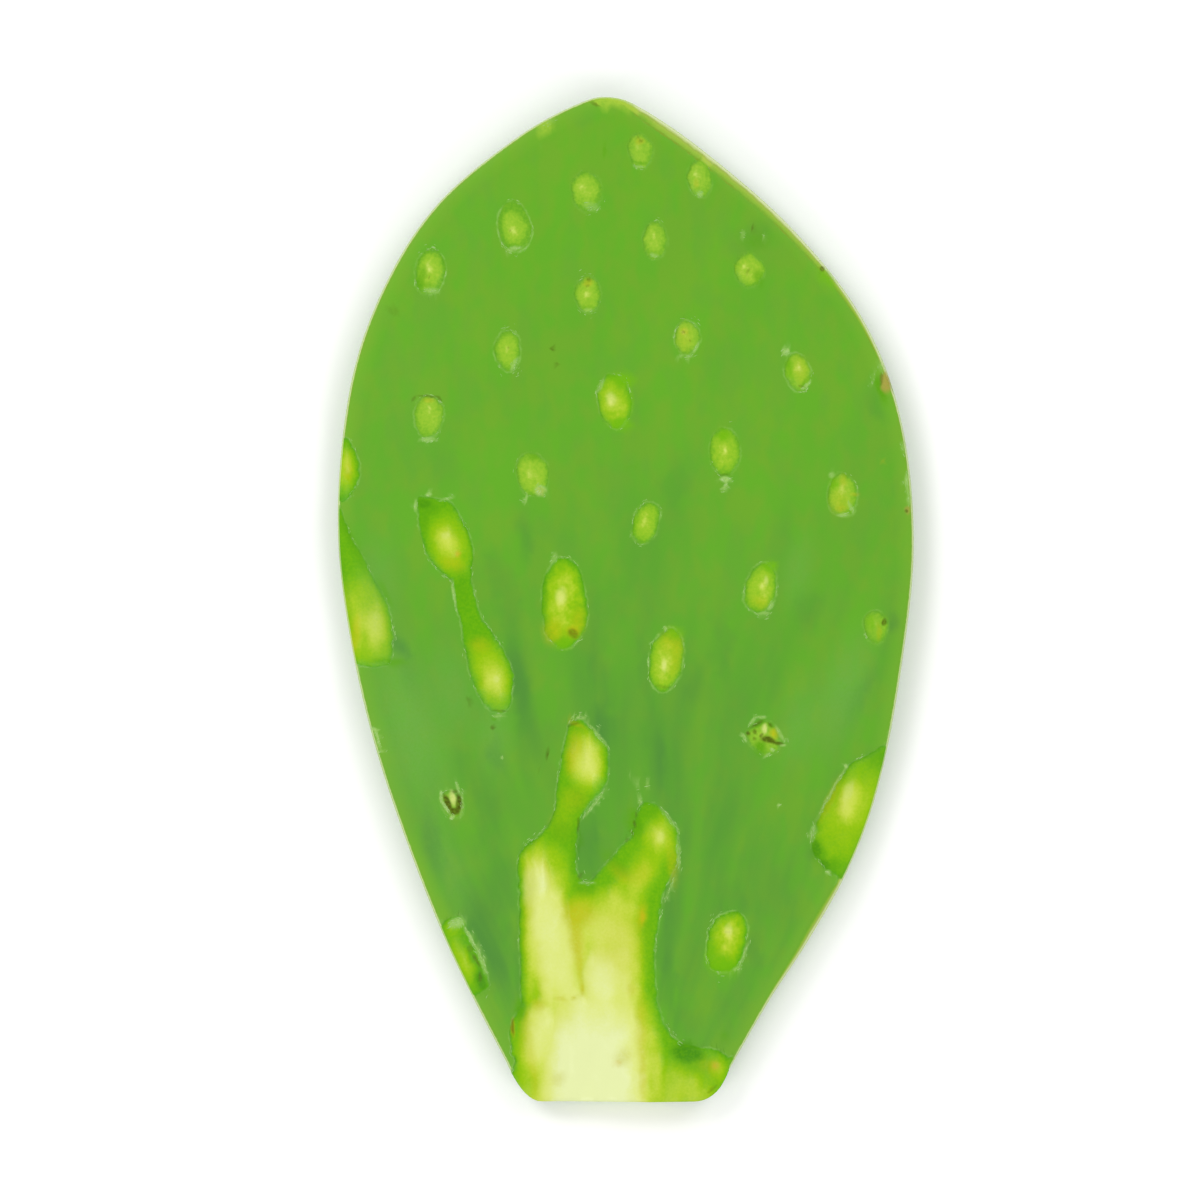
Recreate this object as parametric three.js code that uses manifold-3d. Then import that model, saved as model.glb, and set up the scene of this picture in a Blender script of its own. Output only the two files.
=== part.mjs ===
// A prickly pear cactus pad, cleaned for the kitchen and lying on its flatter face.
//
// The pad is a thick oval leaf-like stem that comes to a blunt point at the growing
// tip. Its stem end is chopped straight across, its spine cushions are pared away with
// a knife point, and a forked scoop is taken out of the face above the chopped end.
// Millimetres, +Z up, +Y toward the tip, the chopped end at -Y.

import * as THREE from 'three';
import { mergeVertices } from 'three/addons/utils/BufferGeometryUtils.js';
import Module from 'manifold-3d';

// The pad as it grew
const PAD_LENGTH = 210;
const THICK_AT_STEM = 13;
const THICK_AT_MIDDLE = 11.8;
const THICK_AT_TIP = 9.5;
const THICK_AT_RIM = 4.6;
const DOME_REACH = 30; // distance in from the rim at which the face has levelled out
const MIDDLE_HEIGHT = 5.1; // height of the middle layer over the surface it lies on
const TIP_LIFT = 4; // how far the tip curls up off that surface
const LIFT_START = 35;

// The rim, trimmed with a knife all round
const RIM_BEVEL = 0.8;
const RIM_BEVEL_DROP = 0.7;
const WIDE_BEVEL = 2.6; // one long slice along the upper right edge
const WIDE_BEVEL_DROP = 1.5;
const CHOP_BEVEL = 0.3;
const CHOP_BEVEL_DROP = 0.15;

// Plan outline, anticlockwise from the right end of the chop to its left end
const CHOP_Y = -PAD_LENGTH / 2;
const CHOP_RIGHT = [14.7, CHOP_Y];
const CHOP_LEFT = [-18.2, CHOP_Y];
const RIGHT_CORNER = [19.3, CHOP_Y + 0.2];
const LEFT_CORNER = [-21.6, CHOP_Y + 0.6];
const SIDES = [
  [21.6, -98.4], [29.9, -84.1], [38.1, -71.5], [46.5, -56.5], [52.6, -40.0],
  [57.2, -17.5], [60.3, 11.0], [57.7, 37.5], [49.5, 59.0], [34.5, 78.0],
  [16.5, 93.7], [3.5, 102.6], [-3.0, PAD_LENGTH / 2], [-9.6, 103.8], [-22.5, 96.8],
  [-39.0, 83.2], [-50.0, 66.7], [-57.3, 46.5], [-60.3, 20.0], [-58.4, -4.0],
  [-51.5, -34.0], [-38.5, -69.5], [-24.9, -97.0],
];
// Where the sides ran on to the joint before the stem end was chopped off
const LOST_RIGHT = [[4, -126], [12, -114]];
const LOST_LEFT = [[-17, -112], [-8, -126]];

// Knife scoops, one row each:
// across, along, half width, half length, lean to the right in degrees, depth
const PARED_CUSHIONS = [
  [3.1, 93.9, 2.6, 3.4, 0, 1.2],
  [-8.4, 85.4, 2.9, 4.2, -3, 1.4],
  [15.5, 87.6, 2.4, 3.6, -8, 1.2],
  [-23.3, 77.7, 3.7, 5.7, -5, 1.6],
  [5.9, 75.1, 2.4, 3.6, 3, 1.4],
  [-40.9, 68.5, 3.5, 5.0, 14, 1.5],
  [25.9, 68.9, 3.0, 3.6, -10, 1.3],
  [-7.8, 63.6, 2.7, 3.5, -6, 1.4],
  [12.7, 54.4, 2.9, 3.9, 0, 1.4],
  [-24.5, 52.1, 2.9, 4.3, -4, 1.5],
  [36.1, 47.4, 2.8, 4.1, -6, 1.4],
  [-2.3, 41.3, 3.6, 5.6, -4, 2.0],
  [-41.2, 38.3, 3.3, 4.6, 4, 1.3],
  [20.7, 30.6, 3.2, 5.2, 0, 1.5],
  [-19.6, 26.1, 3.2, 4.6, -8, 1.5],
  [45.4, 21.9, 3.2, 4.6, -5, 1.4],
  [4.3, 15.8, 2.9, 4.6, 10, 1.4],
  [28.2, 2.2, 3.5, 5.7, 12, 1.6],
  [52.2, -5.8, 2.6, 3.6, 0, 0.9],
  [8.4, -12.4, 4.0, 6.9, 10, 1.8],
  [29.1, -28.9, 3.6, 4.2, -20, 0.7],
  [-36.3, -42.4, 2.4, 3.4, -12, 0.7],
  [21.1, -71.5, 4.4, 6.7, 15, 1.8],
];
const LONG_SCOOPS = [
  [-12.8, -0.6, 5.0, 9.6, 0, 2.2],
  [-38.3, 12.9, 4.9, 10.0, -20, 2.3],
  [-33.0, -2.0, 2.2, 9.0, -16, 0.6],
  [-28.2, -16.0, 4.7, 9.2, -19, 2.2],
  [-54.2, -4.6, 5.5, 9.8, -10, 2.4],
  [-57.4, 9.0, 3.0, 13.0, -17, 0.9],
  [-59.8, 26.0, 3.8, 6.2, 0, 1.1],
  [-34.4, -74.6, 3.4, 9.0, -25, 0.9],
  [47.6, -44.0, 6.2, 14.6, 25, 2.3],
];
// The forked scoop: a long left prong, a bent right prong, and the stem end itself
const STEM_SCOOPS = [
  [-8.5, -34.0, 5.0, 9.6, 3, 2.4],
  [-13.0, -47.0, 3.1, 9.5, 14, 1.2],
  [-15.9, -73.0, 6.9, 24.0, 2, 3.2],
  [7.0, -50.4, 4.7, 8.4, 8, 2.0],
  [2.2, -58.5, 5.8, 14.5, 33, 2.2],
  [-1.2, -80.0, 7.9, 23.0, 0, 3.2],
  [-8.2, -102.0, 16.8, 22.0, 0, 4.0],
  [13.5, -102.5, 9.0, 9.6, 0, 1.8],
];

// The underside: cushions in the same slanting rows, each pared away
const FIRST_CUSHION = [-10, 12];
const ACROSS_STEP = [23, 9];
const ALONG_STEP = [4, -25];
const LATTICE_REACH = 6; // steps counted each way, to pass the rim on every side
const UNDERSIDE_EDGE = 8; // no cushion sits closer to the rim than this
const UNDERSIDE_HALF_WIDTH = 3.1;
const UNDERSIDE_HALF_LENGTH = 4.5;
const UNDERSIDE_DEPTH = 1.2;
const GROWTH_TO_STEM = 0.3; // share by which a cushion at the stem end is larger
const LEAN_PER_MM = 0.25; // the rows fan out from the stem

// How finely the surfaces are faceted
const RINGS = 13;
const SCOOP_FACETS = { sides: 12, bands: 8 };
const LONG_SCOOP_FACETS = { sides: 16, bands: 10 };
const RIM_SAMPLES = 160;
const SLOPE_STEP = 0.5;

const wasm = await Module();
wasm.setup();

const flatPoint = ([x, y]) => new THREE.Vector2(x, y);

// Growth and thickness -------------------------------------------------------------

function padOutline() {
  const shape = new THREE.Shape();
  shape.moveTo(0, CHOP_Y);
  shape.lineTo(...CHOP_RIGHT);
  shape.quadraticCurveTo(...RIGHT_CORNER, ...SIDES[0]);
  shape.splineThru(SIDES.slice(1).map(flatPoint));
  shape.quadraticCurveTo(...LEFT_CORNER, ...CHOP_LEFT);
  shape.lineTo(0, CHOP_Y);
  return shape;
}

function grownRim() {
  const points = [...LOST_RIGHT, ...SIDES, ...LOST_LEFT].map(flatPoint);
  return new THREE.SplineCurve(points).getPoints(RIM_SAMPLES);
}

const outline = padOutline();
const outlinePoints = outline.getPoints();
const rimPoints = grownRim();

function distanceToSegment(p, a, b) {
  const along = b.clone().sub(a);
  const reach = p.clone().sub(a).dot(along) / along.lengthSq();
  const nearest = a.clone().addScaledVector(along, THREE.MathUtils.clamp(reach, 0, 1));
  return nearest.distanceTo(p);
}

function distanceFromRim(x, y) {
  const p = new THREE.Vector2(x, y);
  let least = Infinity;
  for (let i = 1; i < rimPoints.length; i += 1) {
    least = Math.min(least, distanceToSegment(p, rimPoints[i - 1], rimPoints[i]));
  }
  return least;
}

function thickness(x, y) {
  const toStem = THREE.MathUtils.clamp(-y / (PAD_LENGTH / 2), 0, 1);
  const toTip = THREE.MathUtils.clamp(y / (PAD_LENGTH / 2), 0, 1);
  const stemGain = (THICK_AT_STEM - THICK_AT_MIDDLE) * toStem;
  const tipLoss = (THICK_AT_MIDDLE - THICK_AT_TIP) * toTip;
  const fullThickness = THICK_AT_MIDDLE + stemGain - tipLoss;
  const shortfall = 1 - Math.min(distanceFromRim(x, y) / DOME_REACH, 1);
  return THICK_AT_RIM + (fullThickness - THICK_AT_RIM) * (1 - shortfall ** 2);
}

function middleHeight(y) {
  const past = Math.max(y - LIFT_START, 0) / (PAD_LENGTH / 2 - LIFT_START);
  return MIDDLE_HEIGHT + TIP_LIFT * past ** 2;
}

const upperFace = (x, y) => middleHeight(y) + thickness(x, y) / 2;
const lowerFace = (x, y) => Math.max(middleHeight(y) - thickness(x, y) / 2, 0);

// The pad's body -------------------------------------------------------------------

function bevelAt(x, y) {
  if (y < SIDES[0][1]) {
    return { width: CHOP_BEVEL, drop: CHOP_BEVEL_DROP };
  }
  const right = THREE.MathUtils.smoothstep(x, 2, 20);
  const upper = THREE.MathUtils.smoothstep(y, 15, 45);
  const share = right * upper;
  return {
    width: THREE.MathUtils.lerp(RIM_BEVEL, WIDE_BEVEL, share),
    drop: THREE.MathUtils.lerp(RIM_BEVEL_DROP, WIDE_BEVEL_DROP, share),
  };
}

// The face is laid out as a square grid folded on to the outline, ring by ring.
function roundTheSquare(column, row, ring) {
  if (row === -ring) return column + ring;
  if (column === ring) return 3 * ring + row;
  if (row === ring) return 5 * ring - column;
  return 7 * ring - row;
}

function gridPoint(column, row) {
  const ring = Math.max(Math.abs(column), Math.abs(row));
  if (ring === 0) {
    return { x: 0, y: 0, drop: 0 };
  }
  const turn = roundTheSquare(column, row, ring) / (8 * ring);
  const place = (turn + 7 / 8) % 1;
  const edge = outline.getPointAt(place);
  if (ring === RINGS) {
    return { x: edge.x, y: edge.y, drop: bevelAt(edge.x, edge.y).drop };
  }
  const tangent = outline.getTangentAt(place);
  const { width } = bevelAt(edge.x, edge.y);
  const inset = new THREE.Vector2(edge.x - tangent.y * width, edge.y + tangent.x * width);
  const share = ring / (RINGS - 1);
  return { x: inset.x * share, y: inset.y * share, drop: 0 };
}

function faceVertices(height, side) {
  const vertices = [];
  for (let row = -RINGS; row <= RINGS; row += 1) {
    for (let column = -RINGS; column <= RINGS; column += 1) {
      const { x, y, drop } = gridPoint(column, row);
      vertices.push(x, y, height(x, y) - side * drop);
    }
  }
  return vertices;
}

function padBody() {
  const across = 2 * RINGS + 1;
  const faceCount = across * across;
  const upper = (column, row) => row * across + column;
  const lower = (column, row) => faceCount + upper(column, row);
  const triangles = [];
  const quad = (a, b, c, d) => triangles.push(a, b, c, a, c, d);
  for (let row = 0; row < across - 1; row += 1) {
    for (let column = 0; column < across - 1; column += 1) {
      const next = column + 1;
      const above = row + 1;
      quad(upper(column, row), upper(next, row), upper(next, above), upper(column, above));
      quad(lower(column, row), lower(column, above), lower(next, above), lower(next, row));
    }
  }
  const last = across - 1;
  for (let i = 0; i < last; i += 1) {
    quad(lower(i, 0), lower(i + 1, 0), upper(i + 1, 0), upper(i, 0));
    quad(lower(last, i), lower(last, i + 1), upper(last, i + 1), upper(last, i));
    quad(lower(i + 1, last), lower(i, last), upper(i, last), upper(i + 1, last));
    quad(lower(0, i + 1), lower(0, i), upper(0, i), upper(0, i + 1));
  }
  const vertices = [...faceVertices(upperFace, 1), ...faceVertices(lowerFace, -1)];
  return solidFrom(vertices, triangles);
}

function solidFrom(vertices, triangles) {
  const mesh = new wasm.Mesh({
    numProp: 3,
    vertProperties: new Float32Array(vertices),
    triVerts: new Uint32Array(triangles),
  });
  return new wasm.Manifold(mesh);
}

// The knife cuts -------------------------------------------------------------------

function outwardFrom(face, x, y, side) {
  const slopeX = (face(x + SLOPE_STEP, y) - face(x - SLOPE_STEP, y)) / (2 * SLOPE_STEP);
  const slopeY = (face(x, y + SLOPE_STEP) - face(x, y - SLOPE_STEP)) / (2 * SLOPE_STEP);
  return new THREE.Vector3(-slopeX * side, -slopeY * side, side).normalize();
}

// A scoop is the low cap of an egg shape whose centre floats two depths over the face.
function scoop(row, face, side, facets) {
  const [x, y, halfWidth, halfLength, lean, depth] = row;
  const capShare = Math.sqrt(1 - (2 / 3) ** 2);
  const egg = new THREE.SphereGeometry(1, facets.sides, facets.bands);
  egg.rotateX(Math.PI / 2);
  egg.scale(halfWidth / capShare, halfLength / capShare, 3 * depth);
  egg.rotateZ(-THREE.MathUtils.degToRad(lean));
  const outward = outwardFrom(face, x, y, side);
  const turn = new THREE.Quaternion().setFromUnitVectors(new THREE.Vector3(0, 0, 1), outward);
  egg.applyQuaternion(turn);
  const centre = new THREE.Vector3(x, y, face(x, y)).addScaledVector(outward, 2 * depth);
  egg.translate(centre.x, centre.y, centre.z);
  egg.deleteAttribute('normal');
  egg.deleteAttribute('uv');
  const welded = mergeVertices(egg, 1e-4);
  return solidFrom(welded.attributes.position.array, welded.index.array);
}

function insideOutline(x, y) {
  let inside = false;
  outlinePoints.forEach((a, i) => {
    const b = outlinePoints[(i + 1) % outlinePoints.length];
    const crosses = (a.y > y) !== (b.y > y);
    if (crosses && x < a.x + ((y - a.y) * (b.x - a.x)) / (b.y - a.y)) {
      inside = !inside;
    }
  });
  return inside;
}

function undersideRow(x, y) {
  const growth = 1 - (GROWTH_TO_STEM * y) / (PAD_LENGTH / 2);
  return [
    x, y,
    UNDERSIDE_HALF_WIDTH * growth,
    UNDERSIDE_HALF_LENGTH * growth,
    x * LEAN_PER_MM,
    UNDERSIDE_DEPTH * growth,
  ];
}

function undersideRows() {
  const rows = [];
  for (let across = -LATTICE_REACH; across <= LATTICE_REACH; across += 1) {
    for (let along = -LATTICE_REACH; along <= LATTICE_REACH; along += 1) {
      const x = FIRST_CUSHION[0] + across * ACROSS_STEP[0] + along * ALONG_STEP[0];
      const y = FIRST_CUSHION[1] + across * ACROSS_STEP[1] + along * ALONG_STEP[1];
      if (insideOutline(x, y) && distanceFromRim(x, y) > UNDERSIDE_EDGE) {
        rows.push(undersideRow(x, y));
      }
    }
  }
  return rows;
}

function allScoops() {
  const small = PARED_CUSHIONS.map((row) => scoop(row, upperFace, 1, SCOOP_FACETS));
  const long = LONG_SCOOPS.map((row) => scoop(row, upperFace, 1, LONG_SCOOP_FACETS));
  const stem = STEM_SCOOPS.map((row) => scoop(row, upperFace, 1, LONG_SCOOP_FACETS));
  const under = undersideRows().map((row) => scoop(row, lowerFace, -1, SCOOP_FACETS));
  return wasm.Manifold.union([...small, ...long, ...stem, ...under]);
}

// The finished part ----------------------------------------------------------------

function meshFrom(solid, name, material) {
  const { vertProperties, triVerts } = solid.getMesh();
  const geometry = new THREE.BufferGeometry();
  geometry.setAttribute('position', new THREE.BufferAttribute(vertProperties, 3));
  geometry.setIndex(new THREE.BufferAttribute(triVerts, 1));
  geometry.computeVertexNormals();
  const mesh = new THREE.Mesh(geometry, material);
  mesh.name = name;
  return mesh;
}

const padSkin = new THREE.MeshStandardMaterial({
  name: 'skin',
  color: 0x6aac2f,
  roughness: 0.55,
  metalness: 0,
});

const part = new THREE.Group();
part.name = 'prickly_pear_pad';
part.add(meshFrom(padBody().subtract(allScoops()), 'pad', padSkin));

export default part;
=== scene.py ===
"""A prickly pear pad, cleaned for the kitchen, lying on its flatter face.

The order is the order of the work: the view, the pad as it grew, the knife work on it,
its colours, the ragged bits the knife left, then the table and the light.
"""

import bmesh
import bpy
import numpy as np
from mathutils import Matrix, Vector


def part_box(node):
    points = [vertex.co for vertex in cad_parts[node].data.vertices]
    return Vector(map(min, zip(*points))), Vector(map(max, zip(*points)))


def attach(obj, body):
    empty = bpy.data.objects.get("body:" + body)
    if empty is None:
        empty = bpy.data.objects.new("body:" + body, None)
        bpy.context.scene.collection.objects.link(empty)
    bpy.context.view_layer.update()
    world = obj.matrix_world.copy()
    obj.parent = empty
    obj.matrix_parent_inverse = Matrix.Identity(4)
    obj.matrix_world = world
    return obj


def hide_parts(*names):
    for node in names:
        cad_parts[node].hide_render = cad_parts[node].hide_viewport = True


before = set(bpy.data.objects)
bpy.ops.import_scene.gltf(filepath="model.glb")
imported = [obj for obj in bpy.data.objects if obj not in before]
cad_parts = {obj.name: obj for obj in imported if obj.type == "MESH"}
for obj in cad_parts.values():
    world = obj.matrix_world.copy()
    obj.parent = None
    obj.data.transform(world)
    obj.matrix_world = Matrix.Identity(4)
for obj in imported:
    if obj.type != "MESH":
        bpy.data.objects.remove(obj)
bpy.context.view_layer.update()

# ---------------------------------------------------------------------------- the view
# The pad is looked at from straight above, tip away from the viewer, through a long
# lens, and it fills most of the frame's height.

MM = 0.001
pad_low, pad_high = (Vector(corner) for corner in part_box("pad"))
pad_middle = (pad_low + pad_high) / 2
pad_length = (pad_high.y - pad_low.y) / MM

LENS_MM = 200
SENSOR_MM = 36
NEAREST_SEEN = 10
ROOM_ROUND_PAD = 1.196
VIEW_WIDTH = ROOM_ROUND_PAD * pad_length
VIEW_LEFT_OF_PAD = 5.4
RIM_HEIGHT = 7.0  # the rim, which draws the outline, stands this far off the table


def add_object(name, data):
    thing = bpy.data.objects.new(name, data)
    bpy.context.scene.collection.objects.link(thing)
    return thing


def place_camera():
    data = bpy.data.cameras.new("camera_above")
    data.lens = LENS_MM
    data.sensor_width = SENSOR_MM
    data.clip_start = NEAREST_SEEN * MM
    camera = add_object("camera_above", data)
    height = VIEW_WIDTH * LENS_MM / SENSOR_MM + RIM_HEIGHT
    camera.location = (pad_middle.x - VIEW_LEFT_OF_PAD * MM, pad_middle.y, height * MM)
    bpy.context.scene.camera = camera


place_camera()

# ------------------------------------------------------------------ the pad as it grew
# A thick oval stem segment of wet green flesh, domed on both faces, thinnest at the
# rim, thickest by the stem end, its blunt tip curling up a little. All in millimetres
# about the middle of the pad, as the CAD model is.

THICK_AT_STEM = 13
THICK_AT_MIDDLE = 11.8
THICK_AT_TIP = 9.5
THICK_AT_RIM = 4.6
DOME_REACH = 30
MIDDLE_HEIGHT = 5.1
TIP_LIFT = 4
LIFT_START = 35
HALF_LENGTH = pad_length / 2

CHOP_Y = -HALF_LENGTH
CHOP_RIGHT = (14.7, CHOP_Y)
CHOP_LEFT = (-18.2, CHOP_Y)
RIGHT_CORNER = (19.3, CHOP_Y + 0.2)
LEFT_CORNER = (-21.6, CHOP_Y + 0.6)
SIDES = [
    (21.6, -98.4), (29.9, -84.1), (38.1, -71.5), (46.5, -56.5), (52.6, -40.0),
    (57.2, -17.5), (60.3, 11.0), (57.7, 37.5), (49.5, 59.0), (34.5, 78.0),
    (16.5, 93.7), (3.5, 102.6), (-3.0, HALF_LENGTH), (-9.6, 103.8), (-22.5, 96.8),
    (-39.0, 83.2), (-50.0, 66.7), (-57.3, 46.5), (-60.3, 20.0), (-58.4, -4.0),
    (-51.5, -34.0), (-38.5, -69.5), (-24.9, -97.0),
]
# Where the sides ran on to the joint before the stem end was chopped off
LOST_RIGHT = [(4, -126), (12, -114)]
LOST_LEFT = [(-17, -112), (-8, -126)]
REST_ROUNDING = 0.5
SWELL_HEIGHT = 0.5  # slow unevenness of the faces
SWELL_SIZE = 24
SWELL_SEED = 21
NO_LENGTH = 1e-12  # keeps a piece of line with no length from dividing by nothing
NOISE_TABLE = 256


def smooth_line(points, steps, closed=False):
    """A Catmull-Rom line through the points."""
    points = np.array(points, float)
    count = len(points)
    numbers = np.arange(count if closed else count - 1)
    bound = (lambda i: i % count) if closed else (lambda i: i.clip(0, count - 1))
    before, start, end, after = (points[bound(numbers + shift)][:, None]
                                 for shift in (-1, 0, 1, 2))
    t = np.linspace(0, 1, steps, endpoint=False)[None, :, None]
    leave, arrive = (end - before) / 2, (after - start) / 2
    line = (2 * start - 2 * end + leave + arrive) * t ** 3
    line += (3 * end - 3 * start - 2 * leave - arrive) * t ** 2 + leave * t + start
    line = line.reshape(-1, 2)
    return line if closed else np.vstack([line, points[-1:]])


def corner_arc(start, pull, end, steps=8):
    """A rounded corner from start to end, drawn towards pull."""
    t = np.linspace(0, 1, steps, endpoint=False)[:, None]
    start, pull, end = map(np.array, (start, pull, end))
    return (1 - t) ** 2 * start + 2 * t * (1 - t) * pull + t ** 2 * end


def distance_to_line(line, x, y, closed=False):
    """Distance from each (x, y) to a line of short straight pieces."""
    best = np.full(x.shape, np.inf)
    ends = np.roll(line, -1, axis=0) if closed else line[1:]
    for (ax, ay), (bx, by) in zip(line, ends):
        dx, dy = bx - ax, by - ay
        along = ((x - ax) * dx + (y - ay) * dy) / (dx * dx + dy * dy + NO_LENGTH)
        along = np.clip(along, 0, 1)
        best = np.minimum(best, (x - ax - along * dx) ** 2 + (y - ay - along * dy) ** 2)
    return np.sqrt(best)


def smoothstep(value, low, high):
    """0 below low, 1 above high and a smooth rise between them."""
    t = np.clip((value - low) / (high - low), 0, 1)
    return t * t * (3 - 2 * t)


def soft_noise(x, y, size, seed):
    """Smooth noise from -0.5 to 0.5 that changes over `size` millimetres."""
    table = np.random.default_rng(seed).random((NOISE_TABLE, NOISE_TABLE))
    column, row = x / size + NOISE_TABLE / 2, y / size + NOISE_TABLE / 2
    left, below = np.floor(column).astype(int), np.floor(row).astype(int)
    across, up = smoothstep(column - left, 0, 1), smoothstep(row - below, 0, 1)
    at = lambda i, j: table[i % NOISE_TABLE, j % NOISE_TABLE]
    lower = at(left, below) * (1 - across) + at(left + 1, below) * across
    upper = at(left, below + 1) * (1 - across) + at(left + 1, below + 1) * across
    return lower * (1 - up) + upper * up - 0.5


outline = np.vstack([
    [(0, CHOP_Y)],
    corner_arc(CHOP_RIGHT, RIGHT_CORNER, SIDES[0]),
    smooth_line(SIDES, steps=20),
    corner_arc(SIDES[-1], LEFT_CORNER, CHOP_LEFT)[1:],
    [CHOP_LEFT],
])
grown_rim = smooth_line(LOST_RIGHT + SIDES + LOST_LEFT, steps=6)


def thickness(y, from_rim):
    """How thick the pad had grown, by place along it and distance in from its rim."""
    toward = np.clip(np.abs(y) / HALF_LENGTH, 0, 1)
    end_thickness = np.where(y < 0, THICK_AT_STEM, THICK_AT_TIP)
    full = THICK_AT_MIDDLE + (end_thickness - THICK_AT_MIDDLE) * toward
    shortfall = 1 - np.minimum(from_rim / DOME_REACH, 1)
    return THICK_AT_RIM + (full - THICK_AT_RIM) * (1 - shortfall ** 2)


def middle_height(y):
    """Height of the middle of the pad's thickness off the table."""
    past = np.maximum(y - LIFT_START, 0) / (HALF_LENGTH - LIFT_START)
    return MIDDLE_HEIGHT + TIP_LIFT * past ** 2


def upper_skin(x, y, from_rim):
    swell = SWELL_HEIGHT * soft_noise(x, y, SWELL_SIZE, SWELL_SEED)
    return middle_height(y) + thickness(y, from_rim) / 2 + swell


def lower_skin(x, y, from_rim):
    """The underside's dome, pressed flat where it rests on the table."""
    dome = middle_height(y) - thickness(y, from_rim) / 2
    return (dome + np.hypot(dome, REST_ROUNDING)) / 2


# ---------------------------------------------------------------------- the knife work
# Each spine cushion is pared off flush with the knife, which leaves a small oval, palest
# where the cushion was rooted. Longer strokes slice along the rim, run two cushions
# together, and take a forked piece out above the chopped stem end.

# across, along, half width, half length, lean to the right in degrees, depth of the
# cushion's root, where its palest point lies (across, along; 1 is the oval's edge),
# how much of the oval is only a collar of shaved skin, and how plainly the broken
# cuticle shows round it
PARED_SPOTS = [
    (3, 93.8, 2.9, 3.8, 0, 1.15, -0.15, 0.3, 0.05, 0.1),
    (-8.4, 85.3, 3.2, 4.3, -3, 1.25, -0.25, 0.3, 0.08, 0.1),
    (15.6, 87.7, 2.6, 3.9, -8, 1.15, -0.3, 0.4, 0.05, 0.15),
    (-23.2, 77.8, 3.4, 5.2, -5, 1.28, -0.05, -0.15, 0.25, 0.8),
    (6, 75.2, 2.8, 4, 3, 1.2, -0.1, 0.3, 0.06, 0.15),
    (-40.9, 68.5, 3.5, 4.6, 12, 1.32, -0.1, 0.1, 0.12, 0.7),
    (25.7, 69.1, 3.1, 3.7, -10, 1.3, -0.3, 0.2, 0.03, 0.1),
    (-7.9, 63.8, 2.6, 3.6, -6, 1.3, -0.05, 0.1, 0.06, 0.15),
    (12.7, 54.7, 2.6, 3.6, 0, 1.2, -0.15, 0.3, 0.04, 0.5),
    (-24.5, 52.2, 2.7, 4.2, -4, 1.3, 0, 0.1, 0.1, 0.6),
    (36, 47.5, 2.6, 4, -8, 1.3, 0.1, 0.2, 0.04, 0.5),
    (-2.2, 41.3, 3.6, 5.8, -4, 1.6, -0.24, -0.02, 0, 0.35),
    (-41.2, 38.3, 3.3, 4.4, 2, 1.25, 0, 0.3, 0.04, 0.4),
    (20.8, 31, 3.3, 5, 0, 1.42, 0.05, 0.05, 0.02, 0.3),
    (-19.6, 26.4, 3.5, 4.7, -6, 1.3, -0.1, 0, 0.04, 0.2),
    (45.3, 21.9, 3.3, 4.6, -5, 1.3, -0.1, 0.3, 0.05, 0.3),
    (4.3, 16.1, 2.9, 4.6, 10, 1.43, -0.15, 0.1, 0.04, 0.4),
    (28.1, 2.4, 3.1, 5.2, 12, 1.45, -0.05, 0.1, 0.03, 0.5),
    (-12.8, -0.6, 4.9, 9.5, 0, 1.7, -0.12, 0.08, 0, 0.4),
    (52.1, -5.7, 2.5, 3.7, 0, 1, 0.1, 0.3, 0.1, 0.3),
    (8.4, -12.4, 3.6, 6.7, 10, 1.52, -0.05, -0.15, 0.02, 0.6),
    (29, -28.8, 3.4, 3.9, -30, 1, -0.1, 0.3, 0.05, 0.2),
    (-36.4, -42.5, 2.2, 3.3, -20, 0.9, 0.1, 0.3, 0.2, 0.3),
    (21, -71.4, 4.2, 6.6, 15, 1.78, 0.05, 0.3, 0, 0.8),
]

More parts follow.
